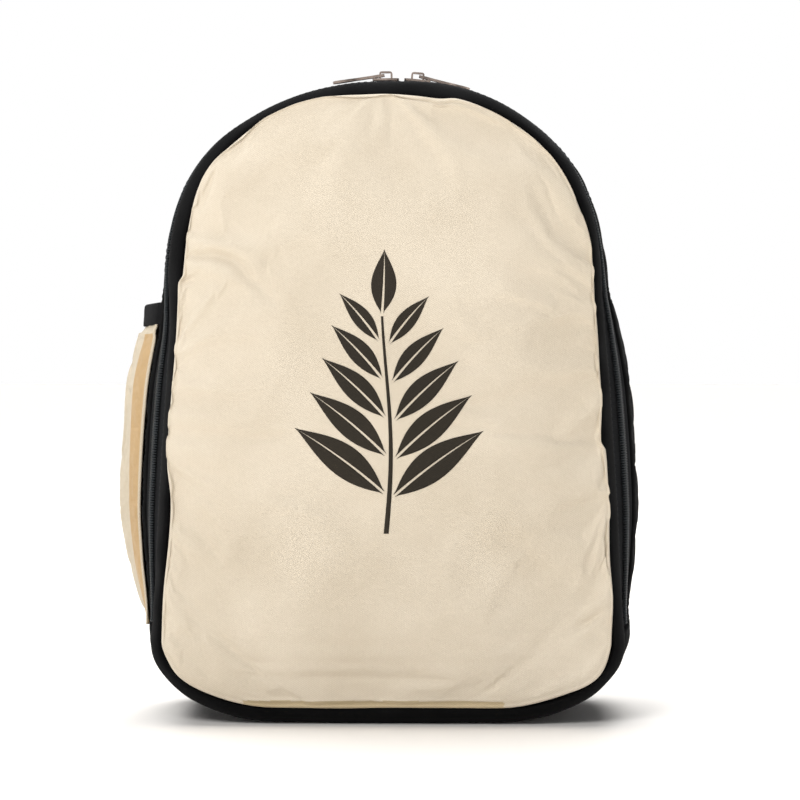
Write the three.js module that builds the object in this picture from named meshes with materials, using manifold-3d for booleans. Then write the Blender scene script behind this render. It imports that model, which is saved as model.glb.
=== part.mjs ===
// A small insulated backpack: a padded front panel with an arched top, a black band that flares back
// to the zip, a hollow padded gusset, a side pocket, two zip sliders with swinging pulls, and plain
// shoulder straps behind. Millimetres, +Z up, front towards -Y, origin on the floor under the middle.

import * as THREE from 'three';
import { mergeVertices } from 'three/addons/utils/BufferGeometryUtils.js';
import Module from 'manifold-3d';

const wasm = await Module();
wasm.setup();

// Clearance between touching pieces, and the distance under which points are one
const GAP = 0.3;
const WELD = 1e-4;
const TINY = 1e-6;

// Outline of the front seam, where the front panel meets the black band
const PANEL_HEIGHT = 320;
const SHOULDER_HALF_WIDTH = 108;
const BASE_HALF_WIDTH = 119.5;
const ARCH_HEIGHT = 106;
const ARCH_POWER = 2.5;
const CORNER_WIDTH = 60;
const CORNER_HEIGHT = 35;
const ARCH_STEPS = 40;
const HALVINGS = 40;

// Sides, from the front seam back to the rear seam
const BAND_DEPTH = 17;
const ZIP_OPENING = 25;
const GUSSET_DEPTH = 70;
const FLARE = 9;
const SIDE_BULGE = 7.5;
const REAR_FLARE = 3;
const REST_FLATTENING = 1;
const BAND_WALL = 3;
const GUSSET_WALL = 4;

// Front and back panels
const FRONT_WALL = 5;
const FRONT_CROWN = 11;
const BACK_WALL = 6;
const BACK_CROWN = 4;
const EDGE_PUFF = 2.6;
const EDGE_REACH = 5;
const CROWN_POWER = 2.4;
const RIM_ROOM = 2;
const RIM_SEAT = 2.8;

// Zip
const TAPE_THICKNESS = 1;
const TAPE_RECESS = 1.2;
const TAPE_SPLIT = 3;
const COIL_WIDTH = 6;
const COIL_HEIGHT = 1.6;
const ZIP_END_RISE = 4;
const ZIP_END_STEP = 1.5;
const SLIDER_LENGTH = 14;
const SLIDER_WIDTH = 9.8;
const SLIDER_PLATE = 1.1;
const SLIDER_BASE = 1;
const SLIDER_CORNER = 1;
const SLIDER_MEETING_X = 6.8;
const SLIDER_NOSE_GAP = 2;
const POST_LENGTH = 2.4;
const POST_WIDTH = 2;
const POST_MARGIN = 1.2;
const BRIDGE_WIDTH = 2.4;
const BRIDGE_BAR = 1;
const BRIDGE_INSIDE_LENGTH = 5;
const BRIDGE_INSIDE_HEIGHT = 2.9;
const PULL_LENGTH = 27;
const PULL_WIDTH = 7;
const PULL_THICKNESS = 1.3;
const PULL_BAR = 1.2;
const PULL_EYE_LENGTH = 3.8;
const PULL_TIP_LIFT = 1.2;
const PULL_EYE_ROOM = 0.5;
const PULL_NECK = 3.5;
const PULL_NECK_BEND = 2;
const PULL_SLOT_MARGIN = 1;

// Side pocket
const POCKET_RIM_HEIGHT = 209.5;
const POCKET_FOOT_HEIGHT = 48;
const POCKET_BULGE = 16;
const POCKET_WALL = 1.4;
const POCKET_MARGIN = 3;
const POCKET_REAR_MARGIN = 8;
const POCKET_RIM_DIP = 1.5;
const POCKET_ARCH_POWER = 0.75;
const POCKET_ROWS = 11;
const POCKET_COLUMNS = 13;
const BINDING_HEIGHT = 11.5;
const BINDING_THICKNESS = 2.2;

// Haul loop
const LOOP_HEIGHT = 317;
const LOOP_HALF_LENGTH = 40;
const LOOP_BOW = 24;
const LOOP_WIDTH = 22;
const LOOP_THICKNESS = 2.4;
const LOOP_FREE_SHARE = 0.69;
const LOOP_LIFT_POWER = 1.3;
const LOOP_STEPS = 20;

// Shoulder straps
const STRAP_WIDTH = 46;
const STRAP_THICKNESS = 7;
const STRAP_TOP_HEIGHT = 298;
const STRAP_END_HEIGHT = 124;
const STRAP_TOP_SPREAD = 34;
const STRAP_LOW_INSET = 41.5;
const STRAP_BOW = 48;
const STRAP_EDGE = 2.5;
const STRAP_STEPS = 22;
const WEBBING_WIDTH = 20;
const WEBBING_THICKNESS = 1.4;
const WEBBING_FOOT_HEIGHT = 34;
const WEBBING_SEWN = 20;
const WEBBING_TAIL = 62;
const LOCK_RAIL = 4;
const LOCK_BAR = 3;
const LOCK_SLOT = 7;
const LOCK_THICKNESS = 3;
const LOCK_ROOM = 0.8;
const LOCK_CORNER = 1.5;

// How far the zip line stands outside the front seam: at is the share of the way round from the
// middle of the bottom to the top, out a share of FLARE
const FLARE_ROUND = [
  { at: 0, out: 1.08 },
  { at: 0.2, out: 0.94 },
  { at: 0.3, out: 0.98 },
  { at: 0.58, out: 0.98 },
  { at: 0.68, out: 0.82 },
  { at: 0.78, out: 0.68 },
  { at: 0.88, out: 0.64 },
  { at: 0.94, out: 0.8 },
  { at: 0.97, out: 0.9 },
  { at: 1, out: 0.93 },
];

// Share of that flare that the band has reached at its back edge: the rest is reached across the zip
const BAND_REACH = [
  { at: 0, out: 1 },
  { at: 0.17, out: 0.92 },
  { at: 0.27, out: 0.62 },
  { at: 0.36, out: 0.46 },
  { at: 0.6, out: 0.46 },
  { at: 0.74, out: 0.62 },
  { at: 0.85, out: 0.88 },
  { at: 0.92, out: 1 },
  { at: 1, out: 1 },
];

// How much of SIDE_BULGE stands out along the same way round: the sides swell below the pocket rim
const BULGE_ROUND = [
  { at: 0, out: 0 },
  { at: 0.29, out: 0 },
  { at: 0.36, out: 0.6 },
  { at: 0.42, out: 1 },
  { at: 0.54, out: 1 },
  { at: 0.61, out: 0.55 },
  { at: 0.67, out: 0.06 },
  { at: 0.75, out: 0 },
  { at: 1, out: 0 },
];

// The band's puffed slope: share of BAND_DEPTH, share of the flare reached there
const BAND_SLOPE = [
  { at: 0, out: 0 },
  { at: 0.25, out: 0.4 },
  { at: 0.55, out: 0.76 },
  { at: 1, out: 1 },
];

// The gusset behind the zip: share of GUSSET_DEPTH, share of the flare, and of the way to the rear seam
const GUSSET_SLOPE = [
  { at: 0, out: 1, rear: 0 },
  { at: 0.3, out: 1.12, rear: 0 },
  { at: 0.65, out: 1.1, rear: 0.05 },
  { at: 0.87, out: 1.02, rear: 0.45 },
  { at: 1, out: 1, rear: 1 },
];

// How the swelling of the sides grows with depth, in shares of the whole depth
const BULGE_DEPTH = [
  { at: 0, out: 0 },
  { at: 0.05, out: 0.06 },
  { at: 0.15, out: 0.28 },
  { at: 0.26, out: 0.64 },
  { at: 0.4, out: 1 },
  { at: 0.7, out: 1 },
  { at: 1, out: 0 },
];

// The pocket's outward bulge up its height, as shares of its height and of POCKET_BULGE
const POCKET_SECTIONS = [
  { at: 0, out: 0.02 },
  { at: 0.09, out: 0.36 },
  { at: 0.22, out: 0.7 },
  { at: 0.35, out: 0.87 },
  { at: 0.5, out: 0.97 },
  { at: 0.65, out: 1 },
  { at: 0.8, out: 1 },
  { at: 0.9, out: 0.88 },
  { at: 1, out: 0.66 },
  { at: 1.08, out: 0.5 },
];

// Dents and folds of the front panel. across and up place the middle as shares of the half width and
// height, long and wide are half sizes as shares of the height, turn is in degrees, and deep is a share
// of FRONT_WALL.
const PANEL_FOLDS = [
  { across: -0.86, up: 0.745, long: 0.07, wide: 0.022, turn: 28, deep: 0.42 },
  { across: -0.9, up: 0.69, long: 0.05, wide: 0.018, turn: 8, deep: 0.3 },
  { across: 0.93, up: 0.15, long: 0.035, wide: 0.016, turn: 32, deep: 0.42 },
  { across: 0.0, up: 0.93, long: 0.03, wide: 0.02, turn: 90, deep: 0.22 },
  { across: 0.9, up: 0.42, long: 0.05, wide: 0.03, turn: 75, deep: 0.3 },
  { across: 0.62, up: 0.95, long: 0.03, wide: 0.02, turn: -50, deep: 0.3 },
];

// The strap's centre line: share of its drop, of its bow and of its spread
const STRAP_LINE = [
  { drop: 0, bow: 0, spread: 0 },
  { drop: 0.13, bow: 0, spread: 0.03 },
  { drop: 0.26, bow: 0.42, spread: 0.16 },
  { drop: 0.45, bow: 0.88, spread: 0.5 },
  { drop: 0.63, bow: 1, spread: 0.8 },
  { drop: 0.82, bow: 0.9, spread: 0.98 },
  { drop: 1, bow: 0.6, spread: 1 },
];

// How the strap narrows towards its lower end
const STRAP_TAPER = [
  { at: 0, out: 0.9 },
  { at: 0.12, out: 1 },
  { at: 0.88, out: 1 },
  { at: 1, out: 0.62 },
];

// Sections round the front seam: how many steps the foot, corner, side and arch of each half take
const ROUND_STEPS = [3, 8, 9, 14];

// Steps of the gusset from its front edge to its rear edge, as shares of its depth
const GUSSET_STEPS = [0, 0.16, 0.36, 0.6, 0.82, 0.94, 1];

// Rings of the two panels: insets are shares of CORNER_HEIGHT, shrinks are shares of the way out
const FRONT_RINGS = { insets: [0.086, 0.257, 0.571, 0.971], shrinks: [0.8, 0.56, 0.3] };
const BACK_RINGS = { insets: [0.143, 0.457], shrinks: [0.78, 0.5, 0.24] };

// Section of the coil: across as shares of COIL_WIDTH, up as shares of COIL_HEIGHT
const COIL_PROFILE = [[-0.5, 0], [-0.5, 0.45], [-0.22, 1], [0.22, 1], [0.5, 0.45], [0.5, 0]];

const TOTAL_DEPTH = BAND_DEPTH + ZIP_OPENING + GUSSET_DEPTH;
const FRONT_Y = -TOTAL_DEPTH / 2;
const REAR_Y = TOTAL_DEPTH / 2;
const ZIP_MIDDLE = BAND_DEPTH + ZIP_OPENING / 2;
const LIFT = FLARE * FLARE_ROUND[0].out - REST_FLATTENING;

// Value of a column of a table at a share, by smooth steps between its rows
function along(table, share, column = 'out') {
  const next = table.findIndex((row) => row.at >= share);
  if (next <= 0) return table[next < 0 ? table.length - 1 : 0][column];
  const a = table[next - 1];
  const b = table[next];
  const before = table[next - 2] ?? a;
  const after = table[next + 1] ?? b;
  const step = b.at - a.at;
  const slopeIn = (b[column] - before[column]) / (b.at - before.at);
  const slopeOut = (after[column] - a[column]) / (after.at - a.at);
  const t = (share - a.at) / step;
  const rise = b[column] - a[column];
  const bend = (slopeIn * step - rise) * (1 - t) + (rise - slopeOut * step) * t;
  return a[column] + rise * t + t * (1 - t) * bend;
}

// Right half of the front seam, from the middle of the bottom to the middle of the top
function halfOutline() {
  const cornerX = BASE_HALF_WIDTH - CORNER_WIDTH;
  const shoulderZ = PANEL_HEIGHT - ARCH_HEIGHT;
  const arch = [];
  for (let i = 1; i <= ARCH_STEPS; i++) {
    const angle = (i / ARCH_STEPS) * (Math.PI / 2);
    const x = SHOULDER_HALF_WIDTH * Math.max(Math.cos(angle), 0) ** (2 / ARCH_POWER);
    const z = shoulderZ + ARCH_HEIGHT * Math.sin(angle) ** (2 / ARCH_POWER);
    arch.push(new THREE.Vector2(i === ARCH_STEPS ? 0 : x, z));
  }
  const point = (x, z) => new THREE.Vector2(x, z);
  const corner = point(BASE_HALF_WIDTH, CORNER_HEIGHT);
  const shoulder = point(SHOULDER_HALF_WIDTH, shoulderZ);
  const path = new THREE.CurvePath();
  path.add(new THREE.LineCurve(point(0, 0), point(cornerX, 0)));
  path.add(new THREE.EllipseCurve(cornerX, CORNER_HEIGHT, CORNER_WIDTH, CORNER_HEIGHT, -Math.PI / 2, 0));
  path.add(new THREE.LineCurve(corner, shoulder));
  path.add(new THREE.SplineCurve([shoulder, ...arch]));
  return path;
}

const HALF = halfOutline();
const HALF_LENGTH = HALF.getLength();
const CURVE_ENDS = HALF.getCurveLengths();

// Point and direction at a share of the half outline's length
function halfAt(share) {
  const length = THREE.MathUtils.clamp(share, 0, 1) * HALF_LENGTH;
  const curve = CURVE_ENDS.findIndex((end) => end > length - TINY);
  const start = curve ? CURVE_ENDS[curve - 1] : 0;
  const part = THREE.MathUtils.clamp((length - start) / (CURVE_ENDS[curve] - start), 0, 1);
  return { point: HALF.curves[curve].getPointAt(part), tangent: HALF.curves[curve].getTangentAt(part) };
}

// Place on the front seam: way is 0 at the middle of the bottom, 1 at the top, 2 back at the bottom,
// rising up the right side. Gives the point and the outward normal in the plane of the front.
function seamAt(way) {
  const share = way <= 1 ? way : 2 - way;
  const side = way <= 1 ? 1 : -1;
  const { point, tangent } = halfAt(share);
  const level = share <= 0 || share >= 1;
  const across = level ? 0 : tangent.y * side;
  const up = level ? (share > 0.5 ? 1 : -1) : -tangent.x;
  return { x: point.x * side, z: point.y + LIFT, nx: across, nz: up, share };
}

// Ways round at which the rings have their sections
function roundWays() {
  const shares = [0];
  ROUND_STEPS.forEach((count, curve) => {
    const start = curve ? CURVE_ENDS[curve - 1] : 0;
    for (let k = 1; k <= count; k++) {
      shares.push((start + ((CURVE_ENDS[curve] - start) * k) / count) / HALF_LENGTH);
    }
  });
  return shares;
}

const ZIP_END = (CURVE_ENDS[1] + ZIP_END_RISE) / HALF_LENGTH;
const END_STEP = ZIP_END_STEP / HALF_LENGTH;
const SIDE_SHARES = [...roundWays(), ZIP_END - END_STEP, ZIP_END]
  .filter((share, i, all) => i >= all.length - 2 || Math.abs(share - ZIP_END) > 2 * END_STEP)
  .sort((a, b) => a - b);
const RING_WAYS = [...SIDE_SHARES, ...SIDE_SHARES.slice(1, -1).reverse().map((share) => 2 - share)];

// Outward distance from the seam outline at a depth behind the front seam
function outAt(depth, share) {
  const flare = FLARE * along(FLARE_ROUND, share);
  const swell = SIDE_BULGE * along(BULGE_ROUND, share) * along(BULGE_DEPTH, depth / TOTAL_DEPTH);
  const zipEnd = BAND_DEPTH + ZIP_OPENING;
  const reach = along(BAND_REACH, share);
  if (depth <= BAND_DEPTH) return flare * reach * along(BAND_SLOPE, depth / BAND_DEPTH) + swell;
  if (depth <= zipEnd) return flare * (reach + (1 - reach) * ((depth - BAND_DEPTH) / ZIP_OPENING)) + swell;
  const back = (depth - zipEnd) / GUSSET_DEPTH;
  const rear = along(GUSSET_SLOPE, back, 'rear');
  return flare * along(GUSSET_SLOPE, back) * (1 - rear) + REAR_FLARE * rear + swell;
}

// Point at an outward distance and depth on a section of the side, kept off the floor
function sidePoint(way, out, depth, floor = 0) {
  const seam = seamAt(way);
  return new THREE.Vector3(seam.x + seam.nx * out, FRONT_Y + depth, Math.max(seam.z + seam.nz * out, floor));
}

// Outer path of a side section and the same path moved in by a wall, each as {out, depth}
function wallSection(share, depths, wall, sink = 0) {
  const outer = depths.map((depth) => ({ out: outAt(depth, share) - sink, depth }));
  const inner = outer.map((point, i) => {
    const a = outer[Math.max(i - 1, 0)];
    const b = outer[Math.min(i + 1, outer.length - 1)];
    const run = Math.hypot(b.out - a.out, b.depth - a.depth);
    const out = point.out - (wall * (b.depth - a.depth)) / run;
    return { out, depth: point.depth + (wall * (b.out - a.out)) / run };
  });
  return { outer, inner };
}

// Closed geometry from points and triangles, turned so that its faces point out
function solid(points, triangles) {
  const positions = new Float32Array(points.flatMap((p) => [p.x, p.y, p.z]));
  const volume = triangles.reduce((sum, [a, b, c]) => {
    const cross = new THREE.Vector3().crossVectors(points[b], points[c]);
    return sum + points[a].dot(cross);
  }, 0);
  const index = triangles.flatMap(([a, b, c]) => (volume < 0 ? [a, c, b] : [a, b, c]));
  const geometry = new THREE.BufferGeometry();
  geometry.setAttribute('position', new THREE.BufferAttribute(positions, 3));
  geometry.setIndex(index);
  return geometry;
}

// Triangles between two loops of equal length, whose points start at a and b
function stitch(a, b, count, closed = true) {
  const triangles = [];
  for (let i = 0; i < (closed ? count : count - 1); i++) {
    const j = (i + 1) % count;
    triangles.push([a + i, a + j, b + j], [a + i, b + j, b + i]);
  }
  return triangles;
}

// A solid swept through sections, each a closed loop of as many points: a ring, or a bar with two ends
function sweep(sections, ring) {
  const count = sections[0].length;
  const triangles = [];
  const last = sections.length - 1;
  for (let i = 0; i < sections.length; i++) {
    if (i < last) triangles.push(...stitch(i * count, (i + 1) * count, count));
    else if (ring) triangles.push(...stitch(i * count, 0, count));
  }
  if (!ring) {
    for (let k = 1; k < count - 1; k++) {
      triangles.push([0, k + 1, k], [last * count, last * count + k, last * count + k + 1]);
    }
  }
  return solid(sections.flat(), triangles);
}

// A wall between two grids of points of the same shape, closed along all four edges
function sheet(outer, inner) {
  const rows = outer.length;
  const columns = outer[0].length;
  const size = rows * columns;
  const triangles = [];
  for (let r = 0; r < rows - 1; r++) {
    triangles.push(...stitch(r * columns, (r + 1) * columns, columns, false));
    triangles.push(...stitch(size + (r + 1) * columns, size + r * columns, columns, false));
  }
  const edge = [];
  for (let c = 0; c < columns - 1; c++) edge.push(c);
  for (let r = 0; r < rows - 1; r++) edge.push(r * columns + columns - 1);
  for (let c = columns - 1; c > 0; c--) edge.push((rows - 1) * columns + c);
  for (let r = rows - 1; r > 0; r--) edge.push(r * columns);
  edge.forEach((a, i) => {
    const b = edge[(i + 1) % edge.length];
    triangles.push([b, a, size + a], [b, size + a, size + b]);
  });
  return solid([...outer.flat(), ...inner.flat()], triangles);
}

// A disc with a wall: outer and inner rings of points from the rim inwards, and a middle point for each
function disc(outerRings, outerMiddle, innerRings, innerMiddle) {
  const count = outerRings[0].length;
  const points = [...outerRings.flat(), outerMiddle, ...innerRings.flat(), innerMiddle];
  const innerStart = outerRings.length * count + 1;
  const triangles = [];
  const face = (start, rings, flip) => {
    const add = (list) => triangles.push(...(flip ? list.map(([a, b, c]) => [a, c, b]) : list));
    for (let r = 0; r < rings - 1; r++) add(stitch(start + r * count, start + (r + 1) * count, count));
    const rim = start + (rings - 1) * count;
    for (let i = 0; i < count; i++) add([[rim + i, rim + ((i + 1) % count), start + rings * count]]);
  };
  face(0, outerRings.length, false);
  face(innerStart, innerRings.length, true);
  triangles.push(...stitch(0, innerStart, count).map(([a, b, c]) => [a, c, b]));
  return solid(points, triangles);
}

// A closed geometry as a solid that can be joined to others
function toManifold(geometry) {
  const bare = geometry.clone();
  bare.deleteAttribute('normal');
  bare.deleteAttribute('uv');
  const merged = mergeVertices(bare, WELD);
  const vertProperties = merged.attributes.position.array;
  const triVerts = new Uint32Array(merged.index.array);
  return new wasm.Manifold(new wasm.Mesh({ numProp: 3, vertProperties, triVerts }));
}

// Joins closed geometries that overlap into one body
function joined(parts) {
  const mesh = parts.map(toManifold).reduce((a, b) => a.add(b)).getMesh();
  const geometry = new THREE.BufferGeometry();
  geometry.setAttribute('position', new THREE.BufferAttribute(new Float32Array(mesh.vertProperties), 3));
  geometry.setIndex([...mesh.triVerts]);
  return geometry;
}

// Extrudes a flat outline, centred on its own plane
function plate(shape, thickness, curveSegments = 4) {
  return new THREE.ExtrudeGeometry(shape, { depth: thickness, bevelEnabled: false, curveSegments })
    .translate(0, 0, -thickness / 2);
}

// Points at even steps along a smooth line through the given ones
function smooth(line, steps) {
  return new THREE.CatmullRomCurve3(line, false, 'centripetal').getSpacedPoints(steps);
}

// A flat strip with a section at each point. Its width runs along X, and widths gives it at each share.
// edge is how much of its long edges is cut away.
function ribbon(points, thickness, widths, edge = 0) {
  const last = points.length - 1;
  const sections = points.map((middle, i) => {
    const tangent = points[Math.min(i + 1, last)].clone().sub(points[Math.max(i - 1, 0)]).normalize();
    const across = new THREE.Vector3(1, 0, 0).addScaledVector(tangent, -tangent.x).normalize();
    const normal = new THREE.Vector3().crossVectors(tangent, across);
    return stripSection(middle, across, normal, widths(i / last), thickness, edge);
  });
  return sweep(sections, false);
}

// Section of a strip: a rectangle, or one with its corners cut
function stripSection(middle, across, normal, width, thickness, edge) {
  const w = width / 2;
  const t = thickness / 2;
  const quarter = edge ? [[w - edge, t], [w, t - edge]] : [[w, t]];
  const half = [...quarter, ...quarter.map(([a, n]) => [a, -n]).reverse()];
  const corners = [...half, ...half.map(([a, n]) => [-a, n]).reverse()];
  return corners.map(([a, n]) => middle.clone().addScaledVector(across, a).addScaledVector(normal, n));
}

function material(color, roughness, metalness = 0) {
  return new THREE.MeshStandardMaterial({ color, roughness, metalness });
}

const CANVAS = material(0xe6d7bf, 0.85);
const BLACK_CLOTH = material(0x222224, 0.75);
const WEBBING = material(0x1b1b1d, 0.8);
const COIL = material(0x202428, 0.45);
const NICKEL = material(0xc9c2b8, 0.28, 1);
const PLASTIC = material(0x17171a, 0.45);

const backpack = new THREE.Group();

function add(name, geometry, look, parent = backpack) {
  const mesh = new THREE.Mesh(geometry, look.clone());
  mesh.name = name;
  parent.add(mesh);
  return mesh;
}

// Middle of both panels, which their rings close in on
const PANEL_MIDDLE = { x: 0, z: LIFT + PANEL_HEIGHT * 0.47 };

// How far the surface of a panel rises off its rim, at a share of the way out from its middle
function crownAt(share, reach, crown) {
  const edge = (1 - share) * reach;
  return crown * (1 - share ** CROWN_POWER) + EDGE_PUFF * (1 - Math.exp(-edge / EDGE_REACH));
}

// Depth of the folds of the front panel at a point
function foldAt(x, z) {
  return PANEL_FOLDS.reduce((sum, fold) => {
    const dx = x - fold.across * SHOULDER_HALF_WIDTH;
    const dz = z - LIFT - fold.up * PANEL_HEIGHT;
    const turn = THREE.MathUtils.degToRad(fold.turn);
    const u = (dx * Math.cos(turn) + dz * Math.sin(turn)) / (fold.long * PANEL_HEIGHT);
    const v = (dz * Math.cos(turn) - dx * Math.sin(turn)) / (fold.wide * PANEL_HEIGHT);
    return sum + fold.deep * FRONT_WALL * Math.exp(-u * u - v * v);
  }, 0);
}

// Points of a panel ring: inset from the seam, then shrunk towards the middle
function panelRing({ seamOut, rimY, towards, crown, inset, shrink, fold }) {
  return RING_WAYS.map((way) => {
    const seam = seamAt(way);
    const rim = new THREE.Vector2(seam.x + seam.nx * seamOut, seam.z + seam.nz * seamOut);
    const reach = Math.hypot(rim.x - PANEL_MIDDLE.x, rim.y - PANEL_MIDDLE.z);
    const x = PANEL_MIDDLE.x + (rim.x - seam.nx * inset - PANEL_MIDDLE.x) * shrink;
    const z = PANEL_MIDDLE.z + (rim.y - seam.nz * inset - PANEL_MIDDLE.z) * shrink;
    const share = Math.hypot(x - PANEL_MIDDLE.x, z - PANEL_MIDDLE.z) / reach;
    const clear = Math.min(((1 - share) * reach) / EDGE_REACH, 1);
    const rise = crownAt(share, reach, crown) - (fold ? foldAt(x, z) * clear : 0);
    return new THREE.Vector3(x, rimY + towards * rise, z);
  });
}

// A padded panel. seamOut places its rim outside the front seam, rimY places it in depth, and towards
// is -1 for the front and 1 for the back. rimInset is how far the inner rim lies inside that seam.
function panel({ seamOut, rimY, towards, crown, wall, fold, rings, rimInset }) {
  const base = { seamOut, towards, crown, fold };
  const insets = [GAP, ...rings.insets.map((share) => share * CORNER_HEIGHT)];
  const { shrinks } = rings;
  const deepest = insets[insets.length - 1];
  const outer = [
    ...insets.map((inset) => panelRing({ ...base, rimY, inset, shrink: 1 })),
    ...shrinks.map((shrink) => panelRing({ ...base, rimY, inset: deepest, shrink })),
  ];
  const innerRimY = rimY - towards * wall;
  const innerBase = { ...base, fold: false, rimY: innerRimY };
  const innerShrinks = shrinks.filter((shrink, i) => i % 2);
  const inner = [
    ...[rimInset, deepest].map((inset) => panelRing({ ...innerBase, inset, shrink: 1 })),
    ...innerShrinks.map((shrink) => panelRing({ ...innerBase, inset: deepest, shrink })),
  ];
  const rise = crown + EDGE_PUFF;
  const middle = (y) => new THREE.Vector3(PANEL_MIDDLE.x, y + towards * rise, PANEL_MIDDLE.z);
  return disc(outer, middle(rimY), inner, middle(innerRimY));
}

function frontPanel() {
  add('front_panel', panel({
    seamOut: 0, rimY: FRONT_Y - GAP, towards: -1, crown: FRONT_CROWN, wall: FRONT_WALL,
    fold: true, rings: FRONT_RINGS, rimInset: BAND_WALL + RIM_ROOM,
  }), CANVAS);
}

function backPanel() {
  add('back_panel', panel({
    seamOut: REAR_FLARE, rimY: REAR_Y + GAP, towards: 1, crown: BACK_CROWN, wall: BACK_WALL,
    fold: false, rings: BACK_RINGS, rimInset: 2 * BACK_WALL,
  }), CANVAS);
}

// Height of the back panel's surface over the rear seam, at a point of it
function backRise(x, z) {
  const from = new THREE.Vector2(PANEL_MIDDLE.x, PANEL_MIDDLE.z);
  const to = new THREE.Vector2(x, z).sub(from);
  if (to.length() < TINY) return BACK_CROWN + EDGE_PUFF;
  const rim = RING_WAYS.map((way) => {
    const seam = seamAt(way);
    return new THREE.Vector2(seam.x + seam.nx * REAR_FLARE, seam.z + seam.nz * REAR_FLARE).sub(from);
  });
  let reach = 0;
  rim.forEach((a, i) => {
    const b = rim[(i + 1) % rim.length];
    const side = b.clone().sub(a);
    const turn = to.cross(side);
    const t = a.cross(side) / turn;
    const u = a.cross(to) / turn;
    if (t > 0 && u >= 0 && u <= 1) reach = t * to.length();
  });
  return crownAt(to.length() / reach, reach, BACK_CROWN);
}

// The band's front edge slopes in behind the rim of the front panel
function frontBand() {
  const depths = BAND_SLOPE.map((row) => row.at * BAND_DEPTH);
  const sections = RING_WAYS.map((way) => {
    const { outer, inner } = wallSection(seamAt(way).share, depths, BAND_WALL);
    const shown = outer.map((p) => sidePoint(way, p.out, p.depth));
    const within = (depth) => THREE.MathUtils.clamp(depth, RIM_SEAT, BAND_DEPTH);
    const hidden = inner.map((p) => sidePoint(way, p.out, within(p.depth), BAND_WALL));
    return [...shown, ...hidden.reverse()];
  });
  add('front_band', sweep(sections, true), BLACK_CLOTH);
}

// The gusset reaches forward to the band under the bag, and stops at the zip above
function gusset() {
  const zipDepth = BAND_DEPTH + ZIP_OPENING;
  const sections = RING_WAYS.map((way) => {
    const { share } = seamAt(way);
    const front = share < ZIP_END - END_STEP / 2 ? BAND_DEPTH + GAP : zipDepth + GAP;
    const depths = GUSSET_STEPS.map((step) => front + (TOTAL_DEPTH - front) * step);
    const { outer, inner } = wallSection(share, depths, GUSSET_WALL);
    const shown = outer.map((p) => sidePoint(way, p.out, p.depth));
    const hidden = inner
      .filter((p, i) => i !== 1 && i !== 3)
      .map((p) => sidePoint(way, p.out, THREE.MathUtils.clamp(p.depth, front, TOTAL_DEPTH), GUSSET_WALL));
    return [...shown, ...hidden.reverse()];
  });
  add('gusset', sweep(sections, true), BLACK_CLOTH);
}

// Ways round that the zip covers, from its right end over the top to its left end
const ZIP_WAYS = (() => {
  const start = ZIP_END + GAP / HALF_LENGTH;
  const right = [start, ...SIDE_SHARES.filter((share) => share > start + END_STEP)];
  return [...right, ...right.slice(0, -1).reverse().map((share) => 2 - share)];
})();

// Outward distance of the tape's outer face at a depth
function tapeOut(depth, share) {
  return outAt(depth, share) - TAPE_RECESS;
}

function zipTape(name, from, to) {
  const sections = ZIP_WAYS.map((way) => {
    const { share } = seamAt(way);
    const { outer, inner } = wallSection(share, [from, (from + to) / 2, to], TAPE_THICKNESS, TAPE_RECESS);
    const shown = outer.map((p) => sidePoint(way, p.out, p.depth));
    const hidden = inner.map((p) => sidePoint(way, p.out, THREE.MathUtils.clamp(p.depth, from, to)));
    return [...shown, ...hidden.reverse()];
  });
  add(name, sweep(sections, false), BLACK_CLOTH);
}

function zipTapes() {
  zipTape('zip_tape_front', BAND_DEPTH + GAP, ZIP_MIDDLE - TAPE_SPLIT / 2);
  zipTape('zip_tape_rear', ZIP_MIDDLE + TAPE_SPLIT / 2, BAND_DEPTH + ZIP_OPENING);
}

const SLIDER_APART = SLIDER_LENGTH + SLIDER_NOSE_GAP;

// Each slider: way round of its middle, and which way its pull points along the zip
const SLIDERS = [
  { side: 'left', way: 1 - (SLIDER_MEETING_X - SLIDER_APART / 2) / HALF_LENGTH, points: 1 },
  { side: 'right', way: 1 - (SLIDER_MEETING_X + SLIDER_APART / 2) / HALF_LENGTH, points: -1 },
];
const POST_AT = SLIDER_LENGTH / 2 - POST_MARGIN - POST_LENGTH;

// The coil lies over the split of the tapes and ends at the post inside its slider
function zipCoils() {
  for (const { side, way, points } of SLIDERS) {
    const stop = way - points * ((POST_AT - GAP) / HALF_LENGTH);
    const ways = ZIP_WAYS.filter((w) => (w - stop) * points > END_STEP);
    const line = points > 0 ? [stop, ...ways] : [...ways, stop];
    const sections = line.map((w) => COIL_PROFILE.map(([across, up]) => {
      const depth = ZIP_MIDDLE + across * COIL_WIDTH;
      const base = tapeOut(depth, seamAt(w).share) + GAP;
      return sidePoint(w, base + up * COIL_HEIGHT, depth);
    }));
    add(`zip_coil_${side}`, sweep(sections, false), COIL);
  }
}

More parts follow.
